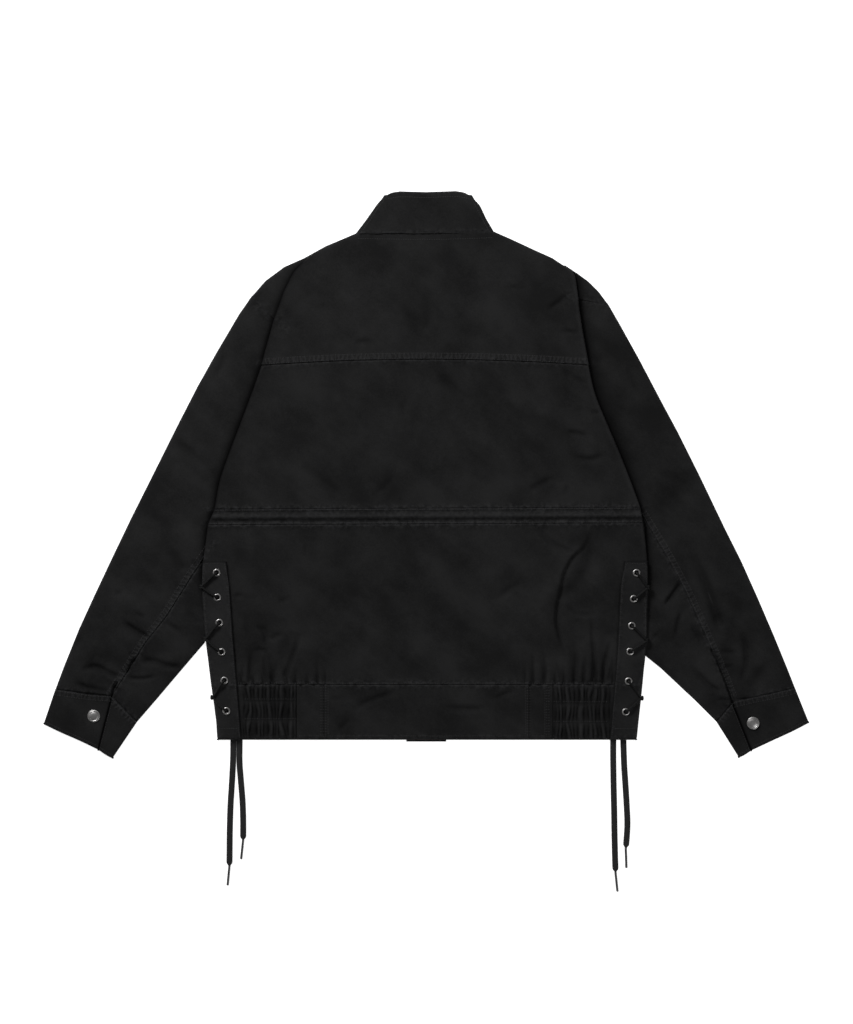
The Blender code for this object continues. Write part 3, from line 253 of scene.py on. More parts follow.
# The sharper folds: a groove of a depth and width, with the cloth raised beside it on one side or both, and
# painted shade in the groove
BACK_CREASES = [
    Crease([(224, -66), (216, -94), (198, -112), (187, -132), (182, -155), (177, -177), (176, -198),
            (180, -218), (186, -236), (190, -255)], 1.9, 2.2, 2.8, 20, 0.32, 1, (0.3, 0.25)),
    Crease([(151, -65), (160, -82), (171, -93), (187, -100), (201, -105)], 2.0, 3.0, 1.2, 12, 0.21, 1,
            (0.3, 0.2)),
    Crease([(189, -174), (199, -185), (213, -189), (234, -186)], 1.2, 2.4, 1.2, 9, 0.17, 1, (0.3, 0.4)),
    Crease([(203, -233), (203, -258), (201, -281)], 2.5, 2.4, 1.8, 8, 0.29, 0, (0.5, 0.05)),
    Crease([(224, -185), (225, -222), (227, -255), (224, -281)], 2.2, 2.4, 1.8, 8, 0.25, 0, (0.5, 0.05)),
    Crease([(251, -217), (244, -243), (240, -266), (236, -281)], 2.5, 2.6, 1.8, 8, 0.29, 0, (0.4, 0.05)),
    Crease([(213, -249), (212, -266), (214, -281)], 1.5, 2.0, 1.2, 6, 0.17, 0, (0.5, 0.05)),
    Crease([(155, -241), (158, -260), (160, -281)], 1.1, 2.2, 0.9, 8, 0.13, 0, (0.5, 0.1)),
    Crease([(171, -243), (178, -260), (183, -281)], 1.2, 2.2, 0.9, 8, 0.15, 0, (0.5, 0.1)),
    Crease([(251, -252), (247, -268), (244, -281)], 1.5, 2.0, 1.2, 6, 0.19, 0, (0.5, 0.05)),
    Crease([(136, -139), (113, -155), (89, -173)], 1.1, 5.0, 0.8, 20, 0.13),
    Crease([(-171, -209), (-175, -229), (-183, -252), (-192, -276)], 2.8, 2.6, 2.1, 13, 0.34, -1,
            (0.4, 0.1)),
    Crease([(-235, -236), (-237, -258), (-238, -281)], 2.1, 2.2, 1.8, 8, 0.25, 0, (0.4, 0.05)),
    Crease([(-219, -239), (-218, -260), (-216, -281)], 2.1, 2.2, 1.8, 8, 0.25, 0, (0.4, 0.05)),
    Crease([(-247, -182), (-242, -209), (-239, -233)], 1.2, 2.6, 0.9, 8, 0.15),
    Crease([(-256, -158), (-252, -168)], 1.5, 5.0, 0.8, 10, 0.21),
    Crease([(-233, -205), (-222, -208), (-216, -217), (-216, -233)], 2.0, 3.6, 1.4, 12, 0.23, 1,
            (0.3, 0.3)),
    Crease([(-211, -225), (-202, -217), (-193, -218)], 1.8, 3.2, 1.2, 10, 0.21, 1, (0.3, 0.3)),
    Crease([(-238, -239), (-225, -236), (-208, -239)], 1.4, 3.6, 0.8, 9, 0.17),
    Crease([(-203, -173), (-184, -166)], 1.0, 3.4, 0.8, 9, 0.15),
    Crease([(-164, -90), (-162, -109)], 0.9, 2.2, 0.6, 9, 0.15),
    Crease([(-252, -260), (-253, -281)], 1.5, 2.0, 1.2, 6, 0.17, 0, (0.5, 0.05)),
    Crease([(-206, -260), (-208, -281)], 1.5, 2.0, 1.2, 6, 0.17, 0, (0.5, 0.05)),
    Crease([(13, 142), (28, 126), (43, 112), (59, 95)], 1.9, 4.6, 1.4, 18, 0.19, 1, (0.3, 0.4)),
    Crease([(67, 147), (86, 131), (106, 112), (126, 100)], 2.0, 5.0, 1.5, 18, 0.21, 1, (0.25, 0.4)),
    Crease([(183, 142), (201, 131), (218, 120)], 1.6, 3.0, 1.4, 9, 0.19, 1, (0.2, 0.3)),
    Crease([(185, 120), (197, 107), (216, 95)], 1.2, 2.6, 1.2, 9, 0.15, 1, (0.3, 0.3)),
    Crease([(220, 85), (234, 83)], 1.2, 3.0, 0.9, 9, 0.15, 0, (0.4, 0.2)),
    Crease([(186, 56), (199, 57), (221, 52)], 1.6, 3.2, 1.2, 12, 0.19, -1, (0.3, 0.4)),
    Crease([(194, 31), (210, 21), (230, 23), (244, 31)], 2.0, 4.0, 1.5, 14, 0.21, -1, (0.3, 0.3)),
    Crease([(56, 34), (71, 19)], 1.0, 2.6, 0.8, 10, 0.13),
    Crease([(136, -25), (155, -12), (180, -1)], 1.5, 4.4, 1.2, 14, 0.17, 0, (0.3, 0.4)),
    Crease([(189, -28), (193, -11)], 1.1, 3.4, 0.9, 12, 0.15),
    Crease([(-171, 21), (-146, -4), (-114, -28)], 1.5, 5.0, 1.2, 20, 0.17, 1, (0.4, 0.2)),
    Crease([(-76, -33), (-54, -15), (-38, 7)], 1.0, 5.0, 0.8, 20, 0.1),
    Crease([(-22, 112), (-30, 88), (-22, 61)], 0.8, 5.0, 0.6, 18, 0.1),
    Crease([(-30, 237), (-19, 212), (2, 188)], 1.9, 7.0, 1.5, 24, 0.17),
    Crease([(0, 250), (5, 212), (-6, 185)], 1.0, 6.0, 0.9, 18, 0.13),
    Crease([(160, 220), (180, 234), (194, 245)], 1.4, 3.6, 1.2, 12, 0.15, 0, (0.4, 0.3)),
    Crease([(180, 195), (207, 191)], 1.1, 3.2, 0.9, 10, 0.15, 0, (0.4, 0.3)),
    Crease([(-100, 176), (-81, 180), (-68, 172)], 1.1, 4.0, 0.9, 12, 0.15),
    Crease([(99, 253), (140, 251)], 0.8, 4.0, 0.6, 14, 0.1),
    Crease([(-214, 174), (-210, 161)], 1.2, 2.4, 0.9, 6, 0.17),
    Crease([(-100, -320), (-79, -306), (-46, -295), (-30, -293)], 1.4, 4.4, 1.0, 14, 0.19, 0, (0.3, 0.4)),
    Crease([(-130, -301), (-114, -303)], 0.9, 2.6, 0.6, 10, 0.13),
    Crease([(18, -313), (54, -316), (89, -314)], 1.2, 4.2, 1.0, 14, 0.17, 0, (0.3, 0.4)),
    Crease([(89, -303), (108, -295), (126, -290)], 1.2, 3.0, 1.0, 12, 0.17, 0, (0.3, 0.4)),
    Crease([(-119, -348), (-100, -325)], 1.0, 3.4, 0.8, 12, 0.13),
]
SLEEVE_CREASES = [
    Crease([(-411, -197), (-399, -205), (-387, -213), (-374, -218)], 2.5, 3.2, 1.8, 11, 0.36, -1,
            (0.3, 0.1)),
    Crease([(-468, -264), (-447, -259), (-431, -266), (-411, -274)], 2.8, 3.4, 2.1, 12, 0.42, 1,
            (0.3, 0.15)),
    Crease([(-388, -251), (-366, -252), (-349, -258), (-327, -260)], 2.8, 4.0, 2.1, 12, 0.39, 1,
            (0.2, 0.2)),
    Crease([(-405, -274), (-384, -275), (-360, -271)], 1.5, 2.6, 1.4, 9, 0.24, 0, (0.2, 0.4)),
    Crease([(-478, -279), (-461, -286), (-446, -289), (-428, -293)], 1.8, 2.6, 1.4, 9, 0.36, 1,
            (0.3, 0.1)),
    Crease([(-466, -281), (-458, -287)], 1.5, 2.0, 1.0, 6, 0.3),
    Crease([(-392, -246), (-399, -256), (-404, -267)], 2.8, 1.6, 1.4, 7, 0.6, 0, (0.1, 0.1)),
    Crease([(-416, -278), (-422, -289), (-425, -299)], 3.0, 1.6, 1.4, 7, 0.6, 0, (0.1, 0.1)),
    Crease([(-349, -94), (-338, -114), (-327, -131)], 2.0, 5.0, 1.4, 14, 0.3, 0, (0.4, 0.2)),
    Crease([(-319, -114), (-306, -123)], 1.2, 3.0, 0.9, 8, 0.24, 0, (0.4, 0.2)),
    Crease([(-351, -198), (-330, -214)], 1.2, 4.0, 0.9, 12, 0.18),
    Crease([(-495, -258), (-473, -229), (-454, -206)], 1.1, 6.0, 0.9, 20, 0.18),
    Crease([(-403, -239), (-396, -244)], 1.5, 2.0, 1.0, 6, 0.3),
    Crease([(-420, -163), (-408, -155)], 0.9, 3.0, 0.8, 10, 0.18),
    Crease([(-397, -185), (-378, -193)], 1.1, 3.6, 0.8, 10, 0.21),
    Crease([(345, -143), (337, -155), (329, -166), (320, -178)], 2.8, 3.0, 2.1, 12, 0.45, 1, (0.15, 0.3)),
    Crease([(353, -98), (369, -128), (380, -152), (388, -177), (395, -201), (401, -224)], 3.0, 5.4, 2.7,
            22, 0.39, -1, (0.3, 0.25)),
    Crease([(426, -205), (431, -231), (431, -258), (423, -282)], 2.4, 3.0, 2.2, 16, 0.36, -1, (0.3, 0.2)),
    Crease([(344, -182), (340, -202), (337, -224)], 1.8, 3.8, 1.4, 12, 0.3, 0, (0.3, 0.4)),
    Crease([(353, -252), (369, -271), (384, -285), (399, -293)], 1.8, 3.4, 1.4, 12, 0.27, 0, (0.4, 0.2)),
    Crease([(379, -232), (386, -237), (392, -248), (399, -266), (407, -287), (414, -309)], 3.0, 1.8, 1.8,
            9, 0.6, 1, (0.12, 0.02)),
    Crease([(394, -239), (410, -239), (423, -241)], 1.6, 2.4, 1.2, 7, 0.3, 0, (0.15, 0.4)),
    Crease([(399, -259), (415, -258)], 1.5, 2.2, 1.2, 7, 0.3, 0, (0.15, 0.4)),
    Crease([(414, -303), (426, -302), (440, -301)], 1.4, 2.0, 0.9, 6, 0.3, 0, (0.1, 0.4)),
    Crease([(374, -227), (364, -212), (356, -195)], 1.5, 3.0, 1.2, 9, 0.27, 0, (0.2, 0.4)),
    Crease([(391, -303), (409, -303)], 1.4, 2.6, 1.0, 8, 0.24, 0, (0.4, 0.1)),
    Crease([(302, -222), (318, -212)], 1.1, 3.0, 0.9, 9, 0.21),
    Crease([(315, -60), (326, -74)], 1.0, 3.0, 0.9, 9, 0.18),
    Crease([(-346, 48), (-319, 31), (-297, 7)], 1.4, 6.0, 1.4, 22, 0.21, 0, (0.4, 0.3)),
    Crease([(309, 7), (332, -4), (356, -23)], 1.5, 7.0, 1.4, 24, 0.21),
    Crease([(272, 156), (280, 129), (294, 104)], 1.1, 6.0, 1.0, 20, 0.18),
    Crease([(-268, 169), (-276, 147), (-287, 129)], 1.1, 5.0, 1.0, 18, 0.18),
]
CREASES = {name: BACK_CREASES for name in ("back_height", "channel_height")}
CREASES["sleeve_height"] = SLEEVE_CREASES


# ---------------------------------------------------------------- curves and distances
def ease(t):
    """Quarter circle from 0 to 1: steep at an edge, level inside it."""
    t = np.clip(t, 0.0, 1.0)
    return np.sqrt(1.0 - (1.0 - t) ** 2)


def fade(t):
    """Smooth step from 0 to 1."""
    t = np.clip(t, 0.0, 1.0)
    return t * t * (3.0 - 2.0 * t)


def bell(off, width=1.0, power=2):
    """1 at no distance, falling smoothly to 0 past a width."""
    return np.exp(-(off / width) ** power)


def reaching(points, low, high, far):
    """Whether spots come within a distance of the box between two corners."""
    return (points.min(axis=0) <= high + far).all() and (points.max(axis=0) >= low - far).all()


def hermite(rows, t):
    """Smooth values between equally spaced rows; t counts rows from 0."""
    rows = np.asarray(rows, float)
    t = np.asarray(t, float)
    i = np.clip(t.astype(int), 0, len(rows) - 2)
    f = (t - i)[..., None]
    a, b, c = rows[np.maximum(i - 1, 0)], rows[i], rows[i + 1]
    d = rows[np.minimum(i + 2, len(rows) - 1)]
    m0, m1 = (c - a) / 2, (d - b) / 2
    return ((2 * f ** 3 - 3 * f ** 2 + 1) * b + (f ** 3 - 2 * f ** 2 + f) * m0
            + (3 * f ** 2 - 2 * f ** 3) * c + (f ** 3 - f ** 2) * m1)


def straight(rows, t):
    """Values between rows with a corner at each row."""
    rows = np.asarray(rows, float)
    t = np.asarray(t, float)
    i = np.clip(t.astype(int), 0, len(rows) - 2)
    return rows[i] + (rows[i + 1] - rows[i]) * (t - i)[..., None]


def at_height(table, y, side):
    """The x of a table's edge at y, on the left or the right."""
    y = np.asarray(y, float)
    x = np.array([row.left if side == LEFT else row.right for row in table])
    level = np.array([row.y for row in table])
    i = np.clip(np.searchsorted(-level, -y, side="left") - 1, 0, len(table) - 2)
    t = np.clip((level[i] - y) / (level[i] - level[i + 1]), 0.0, 1.0)
    return hermite(x[:, None], i + t)[..., 0]


def edge_line(table, side, heights, shift=0.0):
    """Spots down a table's edge on one side, moved outward by a shift."""
    return [Spot(float(at_height(table, y, side)) + side * shift, y) for y in heights]


def side_edge(table, x, y):
    """How far the table's edge on a point's own side is from the middle."""
    return np.where(x < 0, -at_height(table, y, LEFT), at_height(table, y, RIGHT))


def distance(x, y, line):
    """How far points are from a line through spots."""
    best = np.full(np.shape(x), 1e9)
    for a, b in zip(line, line[1:]):
        dx, dy = b[0] - a[0], b[1] - a[1]
        t = np.clip(((x - a[0]) * dx + (y - a[1]) * dy) / (dx * dx + dy * dy), 0.0, 1.0)
        best = np.minimum(best, np.hypot(x - a[0] - t * dx, y - a[1] - t * dy))
    return best


def by_side(lines, x, y):
    """Distance from the line of a point's own side."""
    return np.where(x < 0, distance(x, y, lines[LEFT]), distance(x, y, lines[RIGHT]))


def smooth_route(points, spacing):
    """Points about a given distance apart on a smooth curve through the route's own points."""
    rows = np.array([tuple(point) for point in points], float)
    length = np.linalg.norm(np.diff(rows, axis=0), axis=1).sum()
    count = max(round(length / spacing), 2)
    fine = hermite(rows, np.linspace(0, len(rows) - 1, 8 * count + 1))
    run = np.concatenate([[0], np.cumsum(np.linalg.norm(np.diff(fine, axis=0), axis=1))])
    even = np.linspace(0, run[-1], count + 1)
    return np.stack([np.interp(even, run, fine[:, axis]) for axis in range(rows.shape[1])], axis=1)


def wrinkle(x, y, size, seed):
    """Smooth noise from about -1 to 1 with bumps of a given size in millimetres."""
    flat_x, flat_y = np.ravel(x), np.ravel(y)
    values = [noise.noise((a, b, seed)) for a, b in zip((flat_x / size).tolist(), (flat_y / size).tolist())]
    return np.reshape(np.array(values) * 1.6, np.shape(x))


# ---------------------------------------------------------------- folds and heights
def fold_relief(x, y, folds):
    """How far the folds move the cloth up or down at points."""
    relief = np.zeros(np.shape(x))
    for fold in folds:
        dx, dy = fold.x1 - fold.x0, fold.y1 - fold.y0
        length = math.hypot(dx, dy)
        along = np.clip(((x - fold.x0) * dx + (y - fold.y0) * dy) / length ** 2, 0.0, 1.0)
        bulge = 4 * fold.bend * along * (1 - along)
        across = (((x - fold.x0) * dy - (y - fold.y0) * dx) / length - bulge) / fold.width
        shape = bell(across) - 0.55 * bell(across - 1.5)
        relief -= fold.depth * shape * np.sin(math.pi * along) ** 0.6
    return relief


FREE_TOP = ([Spot(-140, 307)] + SHOULDER_LEFT[2:] + COLLAR_LEFT[1:] + COLLAR_TOP[1:]
            + COLLAR_RIGHT[1:] + SHOULDER_RIGHT[1:3] + [Spot(156, 300)])
FREE_HEM = (edge_line(BODY, LEFT, np.linspace(-246, HEM_Y, 10))
            + edge_line(BODY, RIGHT, np.linspace(-260, HEM_Y, 9))[::-1])


def back_height(x, y):
    """Top of the back's cloth, without its fine creases."""
    edge = np.minimum(distance(x, y, FREE_TOP), distance(x, y, FREE_HEM))
    inside = np.abs(side_edge(BODY, x, np.minimum(y, BODY_TOP_Y)) - np.abs(x))
    relief = fold_relief(x, y, BACK_FOLDS) * ease(inside / 30) * ease(edge / 40)
    loft = LOFT * ease(edge / ROLL)
    puff = bpy.context.scene.jacket_cloth.fold_puff / MM * np.where(x < 0, 0.5, 1.0) * bell(inside, 18, 1)
    puff = puff * fade((292 - y) / 50) * fade((y + 125) / 70)
    return BASE + CLOTH + loft + puff + np.maximum(relief, -0.8 * loft)


def channel_height(x, y):
    """The drawcord channel stands proud along the cord in its middle."""
    middle = (CHANNEL_TOP_Y + CHANNEL_BASE_Y) / 2 + CHANNEL_TILT * x
    across = (y - middle) / (CHANNEL_TOP_Y - CHANNEL_BASE_Y)
    cord = CORD_RISE * bell(across, 0.16) - 0.6 * bell(np.abs(across) - 0.3, 0.1)
    return back_height(x, y) + cord


def pleats(x, y):
    """Uneven pleats between the rows of elastic: their height, 0 in a valley, and how full they are."""
    inner = np.where(x < 0, -SHIRR_LEFT, SHIRR_RIGHT)
    along = (np.abs(x) - inner) / (SHIRR_OUTER - inner)
    up = (y - HEM_Y - ROW_SHIFT * np.sign(x)) / (BAND_SEAM_Y - HEM_Y)
    seed = 4.4 + 3 * (np.ravel(x)[0] > 0)
    phase = PLEATS * along + 0.5 * wrinkle(PLEATS * along * 0.5, up * 2.6, 1.0, seed)
    pleat = np.abs(np.sin(math.pi * phase)) ** 0.7 * (0.75 + 0.35 * np.sin(2.4 * np.floor(phase)))
    inside = fade(along * 14 + 0.4) * fade((1 - along) * 24 + 0.5)
    puff = 0.3 + 0.7 * np.abs(np.sin(math.pi * ELASTIC_ROWS * np.clip(up, 0, 1)))
    return pleat, puff * inside


def shirr_height(x, y):
    """Pleats between the rows of elastic, flat again under the lacing strip."""
    pleat, full = pleats(x, y)
    return back_height(x, y) + PLEAT_RISE * pleat * full


def strip_height(x, y):
    """The lacing strips lie on the back's cloth."""
    return back_height(x, y) + STRIP_LIFT + CLOTH


def sleeve_height(x, y):
    """Top of the sleeve's cloth, low where the back covers it."""
    outer = side_edge(SLEEVE_OUT, x, np.clip(y, SLEEVE_BASE_Y, SLEEVE_TOP_Y)) - np.abs(x)
    covered = np.abs(x) - side_edge(BODY, x, np.clip(y, BODY_BASE_Y, BODY_TOP_Y))
    edge = np.minimum(np.minimum(outer * 0.9, by_side(INNER_EDGE, x, y)), by_side(SLEEVE_HEAD, x, y) + 8)
    hidden = np.where(y > -200, 0.45, 1.0)
    reach = np.clip(covered / 40, 0.0, 1.0)
    share = SLEEVE_LOFT * ease(edge / 55) * (hidden + (1 - hidden) * reach)
    relief = fold_relief(x, y, SLEEVE_FOLDS) * np.clip((covered - 6) / 20, 0, 1) * ease(edge / 40)
    valley = np.where(x < 0, LEFT_VALLEY, RIGHT_VALLEY)
    dip = TUCK * bell(np.maximum(covered, 0), valley, 1) * ease(edge / 20) * fade((y + 200) / 60)
    return BASE + CLOTH + share - dip + np.maximum(relief, -0.8 * share)


def shoulder_height(x, y):
    """The shoulder wedge, low enough for the back's fold to lie on it."""
    return BASE + CLOTH + 0.4 * SLEEVE_LOFT * ease(by_side(SHOULDER_LINE, x, y) / ROLL)


def cuff_height(x, y):
    """The cuffs are stiff and lie almost flat."""
    return BASE + CUFF_CLOTH + CUFF_LOFT * ease(by_side(CUFF_EDGE, x, y) / 12)


def slope(height, x, y, reach=3.0):
    """The cloth's normal at a point."""
    x, y = np.asarray([x, x, x + reach, x - reach], float), np.asarray([y + reach, y - reach, y, y], float)
    z = height(x, y)
    return Vector(((z[3] - z[2]) / (2 * reach), (z[1] - z[0]) / (2 * reach), 1)).normalized()


# ---------------------------------------------------------------- materials
WHITE = (1.0, 1.0, 1.0, 1.0)
# SHADED is painted shade, mixed in where creases, fold edges, slits, gaps and pleat valleys are
TWILL, SHADED = (0.0125, 0.0125, 0.013), (0.003, 0.003, 0.0031)
# Paler tones: worn seams and edges together with painted highlight on pleat tops, the right fold edge and
# the cord's ridge; then rib tops beside seams, part worn roping and part painted highlight
WORN_AND_HIGHLIGHT, RIB_WEAR_AND_HIGHLIGHT = (0.036, 0.036, 0.0375), (0.032, 0.032, 0.0328)
# Painted highlight and painted shade on the puckers beside seams and in the channel
PUCKER_HIGHLIGHT, PUCKER_SHADE = (0.03, 0.03, 0.031), (0.004, 0.004, 0.0043)
# The taut lacing's darker braid tones are painted shade; the loose tones are the lace's own
TAUT_SHADED_GAP, TAUT_SHADED_YARN = (0.0035, 0.0035, 0.0036), (0.0095, 0.0095, 0.0098)
LOOSE_GAP, LOOSE_YARN = (0.012, 0.012, 0.0123), (0.029, 0.029, 0.0296)
GUNMETAL = (0.3, 0.3, 0.31)
RIB_PITCH = 5.8


def shader(name, colour, roughness, metallic=0.0):
    """A new Principled material and its node tools."""
    material = bpy.data.materials.new(name)
    material.use_nodes = True
    tree = material.node_tree
    bsdf = tree.nodes["Principled BSDF"]
    bsdf.inputs["Base Color"].default_value = (*colour, 1)
    bsdf.inputs["Roughness"].default_value = roughness
    bsdf.inputs["Metallic"].default_value = metallic
    return material, tree, bsdf


def node(tree, kind, links=(), **values):
    """A node with its settings, its sockets' values and the links into it."""
    made = tree.nodes.new("ShaderNode" + kind)
    for key, value in values.items():
        if hasattr(made, key):
            setattr(made, key, value)
        else:
            made.inputs[key.replace("_", " ")].default_value = value
    for socket, source in links:
        tree.links.new(source, made.inputs[socket])
    return made


def maths(tree, operation, *sources):
    """The result of an operation on sockets or numbers."""
    made = node(tree, "Math", operation=operation)
    for socket, source in zip(made.inputs, sources):
        if isinstance(source, float):
            socket.default_value = source
        else:
            tree.links.new(source, socket)
    return made.outputs[0]


def mixed(tree, factor, a, b):
    """Two colours mixed by a factor socket; a colour may be a socket too."""
    mix = node(tree, "Mix", [(0, factor)], data_type="RGBA")
    for socket, value in ((mix.inputs[6], a), (mix.inputs[7], b)):
        if isinstance(value, tuple):
            socket.default_value = (*value, 1)
        else:
            tree.links.new(value, socket)
    return mix.outputs[2]


def added(tree, values):
    """The sum of sockets, each times its weight."""
    total = None
    for source, weight in values:
        part = maths(tree, "MULTIPLY", source, weight)
        total = maths(tree, "ADD", total, part) if total else part
    return total


def ranged(tree, source, low, high, to_low=0.0, to_high=1.0):
    """A socket's range brought to another."""
    return node(tree, "MapRange", [("Value", source)], From_Min=low, From_Max=high, To_Min=to_low,
                To_Max=to_high).outputs["Result"]


def turned_by(tree, place, angle):
    """Coordinates turned on the cloth."""
    return node(tree, "Mapping", [("Vector", place)], Rotation=(0.0, 0.0, math.radians(angle))).outputs[0]


def leaning(tree, place, angle, scale):
    """Coordinates turned on the cloth and stretched."""
    return node(tree, "Mapping", [("Vector", turned_by(tree, place, angle))], Scale=scale).outputs[0]


def twill():
    """Black cotton twill, dyed as a garment: mottled, and paler where seams and folds wear."""
    if "black twill" in bpy.data.materials:
        return bpy.data.materials["black twill"]
    material, tree, bsdf = shader("black twill", TWILL, 0.86)
    place = node(tree, "TexCoord").outputs["Object"]

    def clouds(vector, scale, detail, roughness):
        return node(tree, "TexNoise", [("Vector", vector)], Scale=scale, Detail=detail,
                    Roughness=roughness).outputs["Fac"]

    def painted(name, weight):
        source = node(tree, "Attribute", attribute_name=name).outputs["Fac"]
        return both(source, weight)

    def both(a, b):
        return maths(tree, "MULTIPLY", a, b)

    lint = clouds(place, 520.0, 2.0, 0.7)
    mottle = added(tree, [(clouds(place, 15.0, 6.0, 0.62), 1.0), (lint, 0.45),
                          (clouds(leaning(tree, place, 42, (9.0, 30.0, 20.0)), 1.0, 4.0, 0.6), 0.55)])
    dye = bpy.context.scene.jacket_cloth
    base = mixed(tree, ranged(tree, mottle, 0.83, 1.18), tuple(dye.dark), tuple(dye.pale))
    drawn = clouds(place, 210.0, 2.0, 0.6)
    # Puckered cloth gets painted highlight and painted shade in patches, with bumps
    gather = painted("gather", 1.0)
    base = mixed(tree, both(ranged(tree, drawn, 0.5, 0.62, 0.0, 0.8), gather), base, PUCKER_HIGHLIGHT)
    base = mixed(tree, both(ranged(tree, drawn, 0.5, 0.4, 0.0, 0.7), gather), base, PUCKER_SHADE)
    # Paler where seams and edges are worn, and painted highlight on pleat tops, the right fold edge and the
    # cord's ridge
    base = mixed(tree, painted("wear", 0.6), base, WORN_AND_HIGHLIGHT)
    # Ribs beside seams: paler tops, part worn roping and part painted highlight, with bumps
    phase = added(tree, [(painted("ribs_run", math.tau / RIB_PITCH), 1.0),
                         (clouds(place, 70.0, 2.0, 0.6), 14.0)])
    wave = maths(tree, "SINE", phase)
    ribs = both(ranged(tree, wave, -0.7, 0.9), painted("ribs", 1.0))
    base = mixed(tree, both(ribs, 0.42), base, RIB_WEAR_AND_HIGHLIGHT)
    # Painted shade in creases, fold edges, slits, gaps and pleat valleys, which also dims the reflection
    shade = painted("shade", 1.0)
    base = mixed(tree, shade, base, SHADED)
    tree.links.new(ranged(tree, shade, 0.0, 1.0, 0.18, 0.02), bsdf.inputs["Specular IOR Level"])
    tree.links.new(base, bsdf.inputs["Base Color"])
    weave = node(tree, "TexWave", [("Vector", leaning(tree, place, 62, (1.0, 1.0, 1.0)))],
                 Scale=360.0, Distortion=0.5)
    normal = None
    for height, strength, deep in ((weave.outputs["Fac"], 0.35, 0.00012), (lint, 0.35, 0.00022),
                                   (both(drawn, gather), 0.8, 0.0024), (ribs, 0.6, 0.0007)):
        under = [("Normal", normal)] if normal else []
        bump = node(tree, "Bump", [("Height", height)] + under, Strength=strength, Distance=deep)
        normal = bump.outputs[0]
    tree.links.new(normal, bsdf.inputs["Normal"])
    return material


def thread():
    """Cotton topstitching, dyed with the cloth."""
    if "thread" in bpy.data.materials:
        return bpy.data.materials["thread"]
    material, _, bsdf = shader("thread", tuple(bpy.context.scene.jacket_cloth.thread), 0.7)
    bsdf.inputs["Specular IOR Level"].default_value = 0.3
    return material


def braid(taut=False):
    """The laces: a fine braid of matt black yarn, closed and darker where it is pulled taut."""
    name = "taut braid" if taut else "braid"
    if name in bpy.data.materials:
        return bpy.data.materials[name]
    # The taut copy's darker tones are painted shade
    gap, yarn = (TAUT_SHADED_GAP, TAUT_SHADED_YARN) if taut else (LOOSE_GAP, LOOSE_YARN)
    material, tree, bsdf = shader(name, yarn, 0.8)
    place = node(tree, "TexCoord").outputs["UV"]
    waves = [node(tree, "TexWave", [("Vector", turned_by(tree, place, angle))], Scale=0.32).outputs["Fac"]
             for angle in (45, -45)]
    both = maths(tree, "MAXIMUM", *waves)
    tree.links.new(mixed(tree, both, gap, yarn), bsdf.inputs["Base Color"])
    bump = node(tree, "Bump", [("Height", both)], Strength=0.6, Distance=0.0003)
    tree.links.new(bump.outputs[0], bsdf.inputs["Normal"])
    bsdf.inputs["Specular IOR Level"].default_value = 0.25
    return material


def metal(name, colour, roughness):
    """Plated metal with fine marks of wear."""
    if name in bpy.data.materials:
        return bpy.data.materials[name]
    material, tree, bsdf = shader(name, colour, roughness, metallic=1.0)
    place = node(tree, "TexCoord").outputs["Object"]
    marks = node(tree, "TexNoise", [("Vector", place)], Scale=700.0, Detail=3.0, Roughness=0.6)
    rough = ranged(tree, marks.outputs["Fac"], 0.0, 1.0, roughness * 0.6, roughness * 1.5)
    tree.links.new(rough, bsdf.inputs["Roughness"])
    return material


def nickel():
    return metal("nickel", tuple(bpy.context.scene.jacket_trim.metal), 0.08)


def gunmetal():
    return metal("gunmetal", GUNMETAL, 0.3)


# ---------------------------------------------------------------- seams, puckers, worn cloth and painted light and shade
def along_line(x, y, line):
    """Distance from a line through spots, how far along it the nearest point is, and the side."""
    best = np.full(np.shape(x), 1e9)
    run, side = np.zeros(np.shape(x)), np.zeros(np.shape(x))
    start = 0.0
    for a, b in zip(line, line[1:]):
        dx, dy = b[0] - a[0], b[1] - a[1]
        length = max(math.hypot(dx, dy), 0.001)
        t = np.clip(((x - a[0]) * dx + (y - a[1]) * dy) / length ** 2, 0.0, 1.0)
        off = np.hypot(x - a[0] - t * dx, y - a[1] - t * dy)
        nearer = off < best
        best = np.where(nearer, off, best)
        run = np.where(nearer, start + t * length, run)
        side = np.where(nearer, (x - a[0]) * dy - (y - a[1]) * dx, side)
        start += length
    return best, run, np.sign(side)


def yoke_seam(x):
    return YOKE_SEAM_Y - YOKE_SEAM_DROP * (x / 220) ** 2


def line_at(y, tilt=0.0, left=-296, right=296, step=37):
    """Spots across the back at a height."""
    return [Spot(x, y + tilt * x) for x in np.arange(left, right + 1, step)]


